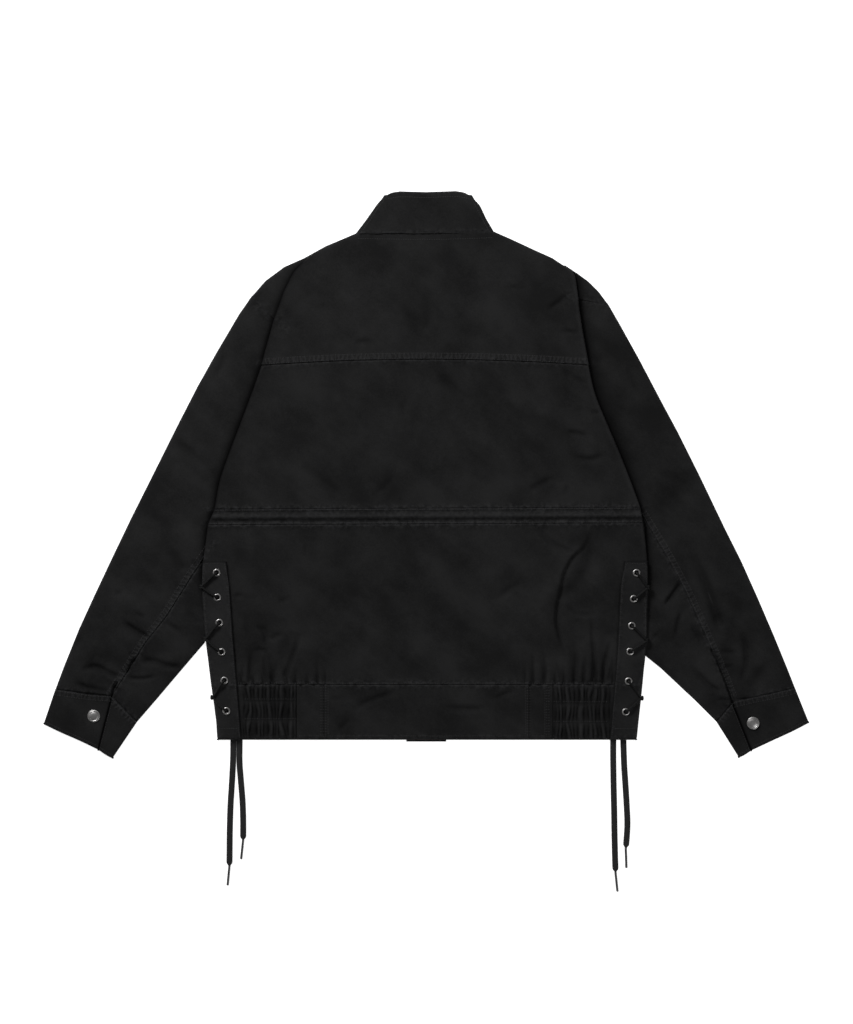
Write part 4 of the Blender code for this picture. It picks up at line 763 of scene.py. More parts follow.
def seams():
    """Every seam that draws its cloth in."""
    found = [
        Seam([Spot(x, yoke_seam(x)) for x in range(-222, 223, 37)], 7.0, 0.45, 9.0, 0.45, (-1, 9.4)),
        Seam(line_at(CHANNEL_TOP_Y, CHANNEL_TILT), 6.0, 0.7, 8.0, 0.65),
        Seam(line_at(CHANNEL_BASE_Y, CHANNEL_TILT), 6.0, 0.8, 9.0, 0.65),
        Seam(line_at(BAND_SEAM_Y), 7.0, 0.6, 10.0, 0.6), Seam(line_at(HEM_Y + 4), 7.0, 0.25, 7.0, 0.45),
        Seam(spots((-95, 327), (0, 327.8), (91, 329.5)), 6.0, 0.3, 7.0, 0.35),
        Seam(COLLAR_TOP, 7.0, 0.2, 9.0, 0.5)]
    for side in (LEFT, RIGHT):
        cuff = CUFF[side] + CUFF_END[side]
        found += [Seam(SLEEVE_HEAD[side], 8.0, 0.9, 14.0, 0.3),
                  Seam(BACK_SEAM[side], 9.0, 0.8, 8.0, 0.45, (-side, 9.0)),
                  Seam(starts(cuff), 6.0, 0.5, 9.0, 0.45, (-side, 8.4)),
                  Seam(ends(cuff), 6.0, 0.15, 6.0, 0.5)]
        for shift, table in ((-2.4, BODY), (2.4, STRIP)):
            found.append(Seam(edge_line(table, side, np.linspace(STRIP_ROW_Y, -355, 8), shift),
                              6.0, 0.1, 6.0, 0.4))
    return found


SEAMS = seams()
PUCKER_REACH = 30


def puckers(x, y):
    """Small waves where a seam draws the cloth in, and how worn the cloth is there."""
    relief, wear, gather, ribs, ribs_run = (np.zeros(np.shape(x)) for _ in range(5))
    low, high = np.array([np.min(x), np.min(y)]), np.array([np.max(x), np.max(y)])
    for number, seam in enumerate(SEAMS):
        if not reaching(np.array(seam.points), low, high, PUCKER_REACH):
            continue
        off, run, side = along_line(x, y, seam.points)
        near = off < PUCKER_REACH
        wave = np.zeros(np.shape(x))
        wave[near] = (wrinkle(run[near], off[near] * 0.25, seam.pitch, 3.1 + number)
                      + 0.6 * wrinkle(run[near], off[near] * 0.3, seam.pitch * 0.45, 9.7 + number))
        relief += seam.pucker * wave * bell(off, seam.reach, 1.3)
        wear = np.maximum(wear, seam.wear * bell(off, 2.2) * (0.75 + 0.5 * wave))
        # Where puckers get painted highlight and painted shade
        gather = np.maximum(gather, 1.3 * seam.wear * bell(off, 0.6 * seam.reach))
        # Ribs beside a seam: paler tops, part worn roping and part painted highlight
        if seam.ribs:
            here = (side == seam.ribs[0]) * fade((off - 0.6) / 1.0) * fade((seam.ribs[1] - off) / 1.0)
            ribs_run = np.where(off < 1.6 * seam.ribs[1], run, ribs_run)
            ribs = np.maximum(ribs, here)
    return relief, {"wear": np.clip(wear, 0.0, 1.0), "gather": np.clip(gather, 0.0, 1.0), "ribs": ribs,
                    "ribs_run": ribs_run}


def creased(x, y, creases):
    """Grooves of the sharper folds with the cloth raised beside them, and how deep in one points are."""
    bend, shade = np.zeros(np.shape(x)), np.zeros(np.shape(x))
    low, high = np.array([np.min(x), np.min(y)]), np.array([np.max(x), np.max(y)])
    for crease in creases:
        line = smooth_route(crease.points, 6.0)
        far = 3 * crease.reach
        if not reaching(line, low, high, far):
            continue
        length = np.linalg.norm(np.diff(line, axis=0), axis=1).sum()
        box = ((x > line[:, 0].min() - far) & (x < line[:, 0].max() + far)
               & (y > line[:, 1].min() - far) & (y < line[:, 1].max() + far))
        off, run, side = along_line(x[box], y[box], [tuple(spot) for spot in line])
        first, last = crease.ends
        strength = fade(run / max(first * length, 0.1)) * fade((length - run) / max(last * length, 0.1))
        groove = bell(off, crease.width)
        raised = (side == crease.side) if crease.side else 1.0
        bulge = bell(off, crease.reach, 1) * (1 - bell(off, 0.9 * crease.width)) * raised
        bend[box] += strength * (crease.rise * bulge - crease.depth * groove)
        # Painted shade along the groove
        shade[box] = np.maximum(shade[box], strength * crease.dark * bell(off, 1.5 * crease.width))
    return bend, shade


def gathers(x, y):
    """Upright folds that rise from the elastic ends of the band, and how dark they are inside."""
    outer = np.abs(x)
    zone = fade((outer - 122) / 16) * fade((262 - outer) / 10)
    up = (y - BAND_SEAM_Y) / (38 + 26 * wrinkle(x, 0 * y, 24, 6.6))
    strength = zone * fade(1 - np.clip(up, 0, 1)) * (y > BAND_SEAM_Y)
    lean = 0.05 * (y - BAND_SEAM_Y) * np.sign(x)
    wave = np.sin(math.tau * (x + lean) / GATHER_PITCH + 2.6 * wrinkle(x, y * 0.3, 26, 8.3))
    return strength * 1.2 * wave, 0.95 * strength * np.clip(-wave - 0.25, 0, 1)


def detail(x, y, height):
    """The cloth's puckers and creases, and what is painted on it: wear, shade, gathers and ribs."""
    bend, paint = puckers(x, y)
    wear, gather = paint["wear"], paint["gather"]
    grooves, shade = creased(x, y, CREASES.get(height.__name__, ()))
    if height is shirr_height:
        # Painted shade in the pleats' valleys and painted highlight on their tops
        pleat, full = pleats(x, y)
        shade = (1 - np.clip(pleat, 0, 1)) ** 1.5 * full
        wear = np.maximum(wear, 0.4 * np.clip(pleat, 0, 1) ** 4 * full)
    streak = wrinkle((x - y) * 0.32, (x + y) * 0.8, 30, 2.9)
    uneven = bpy.context.scene.jacket_cloth.unevenness / MM
    small = (uneven * (wrinkle(x, y, 85, 7.3) + 0.55 * wrinkle(x, y, 38, 1.7) + 0.5 * streak)
             + 0.11 * wrinkle(x, y, 12, 5.2))
    if height in (sleeve_height, shoulder_height):
        # Painted shadow on the sleeve beside the back's side fold, wider on the right
        over = np.abs(x) - side_edge(BODY, x, np.clip(y, -200.0, BODY_TOP_Y))
        reach = np.where(x < 0, 5.5, 7.5 + 9.0 * bell(y - 100, 95))
        deep = fade((y + 190) / 70) * fade((300 - y) / 20)
        shade = np.maximum(shade, 0.9 * deep * bell(np.maximum(over, 0), reach, 1.5))
    if height is cuff_height:
        # Painted shadow in each cuff slit
        for side in (LEFT, RIGHT):
            shade = np.maximum(shade, 0.95 * bell(along_line(x, y, CUFF_SLIT[side])[0], 1.9))
    if height is strip_height:
        wear = np.maximum(wear, 0.22)
        # Painted shadow along the strip's inner edge and top
        edge = np.minimum(np.abs(x) - np.abs(side_edge(STRIP, x, y)), STRIP_EDGE_Y - y)
        shade = np.maximum(shade, 0.6 * bell(edge, 1.3))
        small = 0.4 * small
    if height in (back_height, channel_height):
        # Painted shade along the left side fold's edge and a painted highlight along the right one
        inside = side_edge(BODY, x, np.minimum(y, BODY_TOP_Y)) - np.abs(x)
        fold = fade((y + 125) / 60) * fade((300 - y) / 20)
        shade = np.maximum(shade, 0.8 * fold * bell(inside, 2.6) * (x < 0))
        wear = np.maximum(wear, 0.4 * fold * bell(inside - 2.5, 2.5) * (x > 0))
        paint["ribs"] = paint["ribs"] * (y > 0)
        # Gathers above the band, with painted shade in their hollows
        lines, hollow = gathers(x, y)
        grooves = grooves + lines
        shade = np.maximum(shade, hollow)
        # Painted shadow on the back beside each lacing strip
        beside_strip = np.abs(side_edge(STRIP, x, np.clip(y, HEM_Y, STRIP_EDGE_Y))) - np.abs(x)
        shade = np.maximum(shade, 0.42 * (y < STRIP_EDGE_Y) * bell(np.maximum(beside_strip, 0), 1.8))
    if height is channel_height:
        # The whole channel gets painted light and shade of puckers, a painted highlight along the cord's
        # ridge and painted shadow below it
        gather = np.maximum(gather, 0.4)
        up = y - (CHANNEL_TOP_Y + CHANNEL_BASE_Y) / 2 - CHANNEL_TILT * x
        wear = np.maximum(wear, 0.45 * bell(up - 0.8, 1.9))
        shade = np.maximum(shade, 0.4 * bell(up + 4.2, 1.2))
    paint.update(wear=wear, shade=shade, gather=gather)
    return bend + grooves + small, paint


# ---------------------------------------------------------------- cloth
# How an edge turns, as steps in from the edge. A sewn edge drops by a distance at each step, and a
# rolled one goes a part of its way down to what it rests on.
Edge = namedtuple("Edge", "rolled steps")
SEWN = Edge(False, [(0.05, 1.0), (0.3, 0.4), (0.8, 0.0), (1.6, -0.18), (2.8, -0.12), (4.5, 0.0)])
FELLED = Edge(False, [(0.05, 0.9), (0.4, 0.25), (1.0, -0.25), (2.0, -0.42), (3.4, -0.38), (5.4, -0.45),
                      (7.4, -0.42), (8.4, -0.3), (9.0, -0.08), (9.8, 0.0), (12.0, 0.0)])
TUCKED = Edge(False, [(-5.0, 2.4), (-1.0, 2.1), (0.0, 1.3), (0.5, 0.6), (1.2, 0.2), (2.4, 0.04),
                      (4.5, 0.0)])
LEVEL = Edge(False, [(-5.0, 1.3), (-1.0, 1.1), (-0.3, 0.5), (0.2, 0.18), (0.8, 0.03), (2.0, 0.0)])
FLUSH = Edge(False, [(0.05, 0.45), (0.3, 0.12), (0.8, 0.0)])
PLAIN = Edge(False, [(0.1, 0.0)])
SHORT = Edge(False, [(UNDER_INSET, 0.0)])
TURNED_LOW = Edge(False, [(0.1, 0.9), (0.4, 0.4), (1.0, 0.1), (2.0, 0.0)])
ROLLED = Edge(True, [(2.4, 1.0), (0.9, 0.93), (0.2, 0.8), (0.0, 0.62), (0.12, 0.42), (0.5, 0.24),
                     (1.2, 0.11), (2.3, 0.03), (4.0, 0.0)])
TURNED = Edge(True, [(1.6, 1.0), (0.5, 0.92), (0.05, 0.74), (0.0, 0.5), (0.2, 0.26), (0.7, 0.1),
                     (1.5, 0.02), (3.0, 0.0)])


def grid_lines(first, last, length, cell):
    """Where the lines of a grid are: insets from both ends in millimetres, and even ones between."""
    count = max(int(round((length - first[-1][0] - last[-1][0]) / cell)), 1)
    return count + len(first) + len(last) - 1, count


def graded(index, first, last, count, length):
    """Distance from the start of a rib for each line, and the two edge tables' values there."""
    (start, low), (end, high) = np.array(first).T, np.array(last).T
    a, b = len(start), len(start) + count - 1
    near, far = np.clip(index, 0, a - 1), np.clip(b + len(end) - 1 - index, 0, len(end) - 1)
    inner = start[-1] + (length - start[-1] - end[-1]) * (index - a + 1) / count
    at = np.where(index < a, start[near], np.where(index >= b, length - end[far], inner))
    return at, np.where(index < a, low[near], 0.0), np.where(index >= b, high[far], 0.0)


def rounded(low, high, radius):
    """Distances from two edges of a corner, moved so that the corner is round."""
    u, v = np.clip(1 - low / radius, 0, 1), np.clip(1 - high / radius, 0, 1)
    near = (u > 0) & (v > 0)
    return (np.where(near, radius * (1 - u * np.sqrt(1 - v * v / 2)), low),
            np.where(near, radius * (1 - v * np.sqrt(1 - u * u / 2)), high))


def grid_mesh(name, columns, rows):
    """A flat grid, and the column and row that each of its vertices is in."""
    grid = bmesh.new()
    bmesh.ops.create_grid(grid, x_segments=columns, y_segments=rows, size=0.5)
    mesh = bpy.data.meshes.new(name)
    grid.to_mesh(mesh)
    grid.free()
    flat = np.empty(len(mesh.vertices) * 3)
    mesh.vertices.foreach_get("co", flat)
    flat = flat.reshape(-1, 3)
    return (mesh, np.rint((flat[:, 0] + 0.5) * columns).astype(int),
            np.rint((flat[:, 1] + 0.5) * rows).astype(int))


def placed(mesh, x, y, z, paint):
    """Move a mesh's vertices to places in millimetres, paint them and turn its faces up."""
    mesh.vertices.foreach_set("co", (np.stack([x, y, z], axis=1) * MM).ravel())
    for layer, values in paint.items():
        attribute = mesh.attributes.new(layer, "FLOAT", "POINT")
        attribute.data.foreach_set("value", values.astype(np.float32))
    mesh.update()
    if sum(polygon.normal.z for polygon in mesh.polygons) < 0:
        mesh.flip_normals()


def add_object(name, mesh, material):
    """A smooth object of the scene, riding on the jacket."""
    mesh.materials.append(material)
    mesh.shade_smooth()
    piece = bpy.data.objects.new(name, mesh)
    bpy.context.scene.collection.objects.link(piece)
    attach(piece, "root")
    return piece


def cloth_piece(name, ribs, height, edges, cell=2.6, curve=straight, place=None, wall=1.2, rest=None,
                tangle=1.0, corners=(0, 0, 0, 0)):
    """A piece of cloth between ribs, with its edges turned, sewn or plain.

    edges are those at the ribs' starts, their ends, the first rib and the last. rest gives the
    height that a rolled edge turns down to. corners are the radii where the ribs' starts and ends
    meet the first rib, and then the last.
    """
    table = np.array([tuple(rib) for rib in ribs], float)
    length = np.hypot(table[:, 2] - table[:, 0], table[:, 3] - table[:, 1])
    steps = np.diff(table, axis=0)
    gaps = (np.hypot(steps[:, 0], steps[:, 1]) + np.hypot(steps[:, 2], steps[:, 3])) / 2
    run = np.concatenate([[0.0], np.cumsum(gaps)])
    columns, inner_columns = grid_lines(edges[0].steps, edges[1].steps, length.mean(), cell)
    rows, inner_rows = grid_lines(edges[2].steps, edges[3].steps, run[-1], cell)
    mesh, i, j = grid_mesh(name, columns, rows)
    down, first_row, last_row = graded(j, edges[2].steps, edges[3].steps, inner_rows, run[-1])

    def stations(down):
        level = np.interp(down, run, np.arange(len(run)))
        return level + np.minimum(down, 0) / gaps[0] + np.maximum(down - run[-1], 0) / gaps[-1]

    def reaches(ends):
        return np.hypot(ends[:, 2] - ends[:, 0], ends[:, 3] - ends[:, 1])

    reach = reaches(curve(table, stations(down)))
    across, first_column, last_column = graded(i, edges[0].steps, edges[1].steps, inner_columns, reach)
    left, up = reach - across, run[-1] - down
    if corners[0]:
        across, down = rounded(across, down, corners[0])
    if corners[1]:
        left, down = rounded(left, down, corners[1])
    if corners[2]:
        across, up = rounded(across, up, corners[2])
    if corners[3]:
        left, up = rounded(left, up, corners[3])
    down = np.where(j < rows / 2, down, run[-1] - up)
    ends = curve(table, stations(down))
    reach = reaches(ends)
    t = np.where(i < columns / 2, across, reach - left) / reach
    x, y = ends[:, 0] + (ends[:, 2] - ends[:, 0]) * t, ends[:, 1] + (ends[:, 3] - ends[:, 1]) * t
    if place:
        x, y = place(x, y)

    z = height(x, y)
    bend, paint = detail(x, y, height)
    z = z + tangle * bend
    floor = rest(x, y) if rest else FLOOR_GAP
    turned = np.zeros(len(x))
    for values, edge in zip((first_column, last_column, first_row, last_row), edges):
        if edge.rolled:
            turned = np.maximum(turned, values)
        else:
            z = z - values
    z = z + (floor - z) * turned
    z = np.maximum(z, (wall + 0.05) * (1 - turned) + FLOOR_GAP * turned)
    paint["wear"] = np.maximum(paint["wear"], 0.5 * bell(turned - 0.3, 0.22) * (turned > 0))
    placed(mesh, x, y, z, paint)
    piece = add_object(f"{name}_cloth", mesh, twill())
    solid = piece.modifiers.new("cloth", "SOLIDIFY")
    solid.thickness = wall * MM
    solid.offset = -1.0
    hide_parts(name)
    return piece


# ---------------------------------------------------------------- the back
BACK_ROWS = [151.0, 110, 70, 30, -8, CHANNEL_TOP_Y]
LOWER_ROWS = [CHANNEL_BASE_Y, -96, -126, -156, -187, -218, -250, BAND_SEAM_Y]


def near_edge(y, edge, far):
    """1 at a panel's edge, 0 where it fades out."""
    return np.maximum(0.0, 1 - np.abs(y - edge) / abs(far - edge))


def yoke_place(x, y):
    """Widen the yoke from straight sides to its curved folds."""
    top = np.where(x < 0, BODY_TOP_Y, 275.0)
    high, low = np.where(x < 0, -158.0, 198.0), np.where(x < 0, -221.0, 218.5)
    chord = high + (low - high) * (top - y) / (top - 148.0)
    edge = np.where(x < 0, -1.0, 1.0) * side_edge(BODY, x, np.minimum(y, BODY_TOP_Y))
    return np.where(y > top, x, x * edge / chord), y


def upper_place(x, y):
    seam = (yoke_seam(x) - BACK_ROWS[0]) * near_edge(y, BACK_ROWS[0], BACK_ROWS[1])
    return x, y + seam + CHANNEL_TILT * x * near_edge(y, CHANNEL_TOP_Y, 0)


def lower_place(x, y):
    return x, y + CHANNEL_TILT * x * near_edge(y, CHANNEL_BASE_Y, -120)


def body_rows(heights):
    """Ribs across the back, from side edge to side edge."""
    return [Rib(*left, *right) for left, right in zip(edge_line(BODY, LEFT, heights),
                                                      edge_line(BODY, RIGHT, heights))]


def on_sleeve(x, y):
    """What the back's side folds come down to: the shoulder, the sleeve, or the surface."""
    sleeve = (sleeve_height(x, y) - FOLD_SINK) * np.clip((y + 190) / 60, 0.0, 1.0)
    return np.where(y > SLEEVE_TOP_Y, shoulder_height(x, y) - FOLD_SINK, np.maximum(FLOOR_GAP, sleeve))


def under_yoke(x, y):
    """The yoke turns down to the collar at the neck, to the surface at the shoulders and to the sleeves."""
    neck = back_height(x, y) - 0.7
    open_edge = np.where(y > np.where(x < 0, 291.0, 278.0), FLOOR_GAP, on_sleeve(x, y))
    at_neck = fade((92 - np.abs(x + 2)) / 5) * fade((y - 300) / 10)
    return open_edge + (neck - open_edge) * at_neck


def make_back():
    """Yoke, upper back, drawcord channel and lower back."""
    outline = (SHOULDER_LEFT + spots((-48, 327.6), (0, 327.8), (46, 328.2))
               + SHOULDER_RIGHT[:3] + spots((170, 293.5), (198, 275)))
    seam_x = [-221, -196, -171, -146, -96, -14, 52, 104, 140, 170, 196, 218.5]
    ribs = [Rib(x, yoke_seam(x), top.x, top.y) for x, top in zip(seam_x, outline)]
    cloth_piece("yoke", ribs, back_height, (FELLED, ROLLED, ROLLED, ROLLED), place=yoke_place,
                rest=under_yoke, corners=(0, 5, 0, 4))
    cloth_piece("back_upper", body_rows(BACK_ROWS), back_height, (ROLLED, ROLLED, TUCKED, TUCKED),
                curve=hermite, place=upper_place, rest=on_sleeve)
    cloth_piece("waist_channel", body_rows((CHANNEL_TOP_Y, CHANNEL_BASE_Y)), channel_height,
                (ROLLED, ROLLED, SEWN, SEWN), cell=2.0, curve=hermite, rest=on_sleeve,
                place=lambda x, y: (x, y + CHANNEL_TILT * x))
    cloth_piece("back_lower", body_rows(LOWER_ROWS), back_height, (ROLLED, ROLLED, TUCKED, SEWN),
                cell=2.4, curve=hermite, place=lower_place, rest=on_sleeve)


def make_band():
    """Hem band: plain centre and tabs, shirred ends that run under the lacing strips."""
    def piece(name, x0, x1, height, edges, cell):
        rows = (BAND_SEAM_Y, (BAND_SEAM_Y + HEM_Y) / 2, HEM_Y)
        side = LEFT if "left" in name else RIGHT
        outer = edge_line(BODY, side, rows) if x1 is None else [Spot(x1, y) for y in rows]
        ribs = [Rib(x0, spot.y, spot.x, spot.y) for spot in outer]
        cloth_piece(name, ribs, height, edges, cell=cell)

    piece("band_centre", TAB_LEFT, TAB_RIGHT, back_height, (SEWN, SEWN, TUCKED, TURNED), 2.4)
    piece("band_tab_left", SHIRR_LEFT, TAB_LEFT, back_height, (SEWN, TUCKED, TUCKED, TURNED), 2.4)
    piece("band_tab_right", TAB_RIGHT, SHIRR_RIGHT, back_height, (TUCKED, SEWN, TUCKED, TURNED), 2.4)
    piece("band_shirred_left", SHIRR_LEFT, None, shirr_height, (TUCKED, ROLLED, TUCKED, TURNED), 0.9)
    piece("band_shirred_right", SHIRR_RIGHT, None, shirr_height, (TUCKED, ROLLED, TUCKED, TURNED), 0.9)


def make_strips():
    """Lacing strips along the sides, with a hole at each eyelet."""
    heights = [STRIP_TOP_Y, -126, -156, -187, -218, -250, BAND_SEAM_Y, -307.5, -332.5, HEM_Y]
    for name, side in SIDES.items():
        ribs = [Rib(*outer, *inner) for outer, inner in zip(edge_line(BODY, side, heights),
                                                            edge_line(STRIP, side, heights))]
        strip = cloth_piece(f"lacing_strip_{name}", ribs, strip_height, (TURNED, TURNED, TURNED, TURNED),
                            cell=1.6, rest=strip_rest, corners=(1.5, 2.5, 2, 2))
        open_holes(strip, EYELETS[side])


def strip_rest(x, y):
    """A strip's edges turn down to the back, and to the surface at the hem."""
    return np.where(y < HEM_Y + 3, FLOOR_GAP, back_height(x, y) - 0.2)


def open_holes(piece, places):
    """Remove the cloth inside each eyelet."""
    cloth = bmesh.new()
    cloth.from_mesh(piece.data)
    inside = [vert for vert in cloth.verts
              if any(math.dist(vert.co.xy / MM, spot) < CLOTH_HOLE for spot in places)]
    bmesh.ops.delete(cloth, geom=inside, context="VERTS")
    cloth.to_mesh(piece.data)
    cloth.free()


# ---------------------------------------------------------------- collar, sleeves and cuffs
def collar_place(x, y):
    """Widen the collar from straight ends to its own."""
    found = np.array(x, float)
    for side, line in ((LEFT, COLLAR_LEFT), (RIGHT, COLLAR_RIGHT[::-1])):
        up = np.clip((y - line[0].y) / (line[-1].y - line[0].y), 0, 1)
        chord = line[0].x + (line[-1].x - line[0].x) * up
        real = straight([(spot.x,) for spot in line], 3 * up)[..., 0]
        wide = x * (1 + (real / chord - 1) * np.minimum(np.abs(x / chord), 1))
        found = np.where((x < 0) == (side == LEFT), wide, found)
    return found, y


def floor_height(x, y):
    """Top of the layer that lies on the surface."""
    return np.full(np.shape(x), FRONT_CLOTH - 0.1)


def make_collar():
    """Stand collar: its back, and its front on the surface."""
    cloth_piece("collar_back", COLLAR, back_height, (LEVEL, TURNED, TURNED, TURNED), cell=2.0,
                place=collar_place, corners=(0, 20, 0, 20))


def make_sleeves():
    """Each sleeve's top, the panel behind its back seam and the shoulder wedge."""
    for name, side in SIDES.items():
        cloth_piece(f"sleeve_{name}", SLEEVE[side], sleeve_height, (ROLLED, SEWN, LEVEL, TUCKED))
        cloth_piece(f"sleeve_back_{name}", SLEEVE_BACK[side], sleeve_height,
                    (TUCKED, ROLLED, PLAIN, TUCKED), cell=2.0)
        under_yoke_rib = Rib(-149, 302, -150, 292) if side == LEFT else Rib(187, 284, 184, 276)
        cloth_piece(f"shoulder_{name}", [under_yoke_rib] + SHOULDER_WEDGE[side], shoulder_height,
                    (ROLLED, PLAIN, PLAIN, FLUSH), cell=2.0)


def make_cuffs():
    """Cuffs and their ends beyond the slit."""
    for name, side in SIDES.items():
        cloth_piece(f"cuff_{name}", CUFF[side], cuff_height, (SEWN, TURNED, TURNED, TURNED), cell=2.0,
                    curve=hermite, wall=1.8, corners=(0, 4, 0, 1.5))
        cloth_piece(f"cuff_end_{name}", CUFF_END[side], cuff_height, (SEWN, TURNED, TURNED, TURNED),
                    cell=2.0, curve=hermite, wall=1.8, corners=(0, 1.5, 0, 3))


def lower(name, ribs, edges, place=None):
    """One piece of the layer on the surface, plain and hidden by what lies on it."""
    cloth_piece(name, ribs, floor_height, edges, cell=9.0, place=place, wall=1.6, tangle=0.0)


def make_lower_layer():
    """Left and right front, placket, front hem bands and the undersides of collar, sleeves and cuffs."""
    lower("collar_front", COLLAR, (PLAIN, SHORT, SHORT, SHORT), place=collar_place)
    lower("front_placket", [Rib(-PLACKET, COLLAR_SEAM_Y, PLACKET, COLLAR_SEAM_Y),
                            Rib(-PLACKET, PLACKET_END_Y, PLACKET, PLACKET_END_Y)],
          (PLAIN, PLAIN, PLAIN, TURNED_LOW))
    for name, side in SIDES.items():
        shoulder = SHOULDER_LEFT[:0:-1] if side == LEFT else SHOULDER_RIGHT[:3]
        shoulder = [Spot(spot.x - side * UNDER_INSET, spot.y - UNDER_INSET)
                    for spot in shoulder + SHOULDER_LINE[side][:-1]]
        shoulder.append(Spot(SHOULDER_LINE[side][-1].x - side * UNDER_INSET, SHOULDER_LINE[side][-1].y))
        armhole = [spot for spot in INNER_EDGE[side] if spot.y > -245]
        below = edge_line(BODY, side, (armhole[-1].y - 12, -264, BAND_SEAM_Y), -UNDER_INSET)
        ribs = [Rib(side * PLACKET, spot.y, spot.x, spot.y) for spot in shoulder + armhole + below]
        lower(f"front_{name}", ribs, (PLAIN, PLAIN, PLAIN, PLAIN))
        outer = edge_line(BODY, side, (BAND_SEAM_Y, -325, HEM_Y), -UNDER_INSET)
        ribs = [Rib(side * PLACKET, spot.y, spot.x, spot.y) for spot in outer]
        lower(f"front_band_{name}", ribs, (PLAIN, PLAIN, PLAIN, Edge(False, [(1.0, 0.0)])))
        lower(f"sleeve_under_{name}", SLEEVE_UNDER[side], (SHORT, PLAIN, PLAIN, PLAIN))
        under = [Rib(rib.x0, rib.y0, rib.x1 - side, rib.y1 + UNDER_INSET)
                 for rib in CUFF[side] + CUFF_END[side][1:]]
        seam, steps = SLEEVE_UNDER[side][-1], len(under) - 1
        along = [straight([seam[:2], seam[2:]], np.array(i / steps)).tolist() for i in range(steps + 1)]
        under = [Rib(*start, rib.x1, rib.y1) for start, rib in zip(along, under)]
        lower(f"cuff_under_{name}", under, (PLAIN, PLAIN, SHORT, SHORT))


# ---------------------------------------------------------------- metal
def link(name, mesh_data, material):
    """Turn a bmesh in millimetres into an object of the scene."""
    bmesh.ops.scale(mesh_data, vec=Vector((MM, MM, MM)), verts=mesh_data.verts)
    bmesh.ops.recalc_face_normals(mesh_data, faces=mesh_data.faces)
    mesh = bpy.data.meshes.new(name)
    mesh_data.to_mesh(mesh)
    mesh_data.free()
    return add_object(name, mesh, material)


def turned(name, profile, material, place, normal, sides=48):
    """A ring or a dome from a profile of (radius, height), stood on a place along its normal."""
    ring = bmesh.new()
    verts = [ring.verts.new((radius, 0.0, height)) for radius, height in profile]
    closed = profile[0][0] > 0
    edges = [ring.edges.new(pair) for pair in zip(verts, verts[1:] + (verts[:1] if closed else []))]
    bmesh.ops.spin(ring, geom=verts + edges, cent=(0, 0, 0), axis=(0, 0, 1), angle=math.tau,
                   steps=sides, use_merge=True)
    bmesh.ops.remove_doubles(ring, verts=ring.verts, dist=1e-4)
    turn = Vector((0, 0, 1)).rotation_difference(normal).to_matrix()
    bmesh.ops.rotate(ring, cent=(0, 0, 0), matrix=turn, verts=ring.verts)
    bmesh.ops.translate(ring, vec=place, verts=ring.verts)
    return link(name, ring, material)


def arc(centre, radius, first, last, count=6):
    """Points of a profile along an arc, in degrees from the outward direction."""
    angles = [math.radians(first + (last - first) * i / count) for i in range(count + 1)]
    return [(centre[0] + radius * math.cos(a), centre[1] + radius * math.sin(a)) for a in angles]


def make_eyelets():
    """Rolled metal eyelets in the lacing strips."""
    for name, side in SIDES.items():
        for number, spot in enumerate(EYELETS[side], 1):
            top = Vector((spot.x, spot.y, float(strip_height(spot.x, spot.y))))
            middle, half = (EYELET_HOLE + EYELET_FLANGE) / 2, (EYELET_FLANGE - EYELET_HOLE) / 2
            profile = ([(EYELET_HOLE, -1.3)] + arc((middle, 0.25), half, 180, 0, 14)
                       + [(EYELET_FLANGE - 0.4, 0.1), (EYELET_HOLE + 0.35, 0.1), (EYELET_HOLE + 0.3, -1.3)])
            ring = turned(f"ring_{name}_{number}", profile, nickel(), top,
                          slope(strip_height, spot.x, spot.y))
            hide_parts(f"eyelet_{name}_{number}")


def make_snaps():
    """Domed snap caps on the cuffs."""
    for name, side in SIDES.items():
        spot = SNAPS[side]
        profile = ([(0.0, 2.35), (1.6, 2.32), (3.1, 2.2), (4.5, 1.95), (5.4, 1.62), (5.8, 1.42)]
                   + arc((6.7, 1.15), 0.75, 150, 20, 7) + arc((7.75, 0.75), 0.75, 80, -60, 8)
                   + [(7.6, 0.12), (0.0, 0.12)])
        cap = turned(f"cap_{name}", profile, nickel(), Vector((*spot, float(cuff_height(*spot)))),
                     slope(cuff_height, *spot), sides=64)
        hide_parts(f"snap_{name}")


def make_aglets():
    """Metal tips of the four free lace ends, crimped round the braid."""
    tips = {}
    for route in LACES:
        end = Vector((*route.points[-1], AGLET / 2))
        tip = Vector((*route.aglet, AGLET / 2))
        ahead = (tip - end).normalized()
        start = end - ahead * 1.5
        half = (tip - start).length / 2
        profile = [(0.0, -half), (AGLET * 0.4, -half), (AGLET * 0.5, -half + 0.35)]
        for i in range(CRIMPS):
            at = -half + 2.0 + (2 * half - 5.0) * i / (CRIMPS - 1)
            profile += [(AGLET * 0.5, at - 0.55), (AGLET * 0.455, at), (AGLET * 0.5, at + 0.55)]
        profile += [(AGLET * 0.49, half - 1.3), (AGLET * 0.42, half - 0.4), (AGLET * 0.3, half),
                    (0.0, half)]
        piece = turned(f"tip_{route.name}", profile, gunmetal(), (start + tip) / 2, ahead, sides=32)
        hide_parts(f"aglet_{route.name}")
        tips[route.name] = piece
    return tips


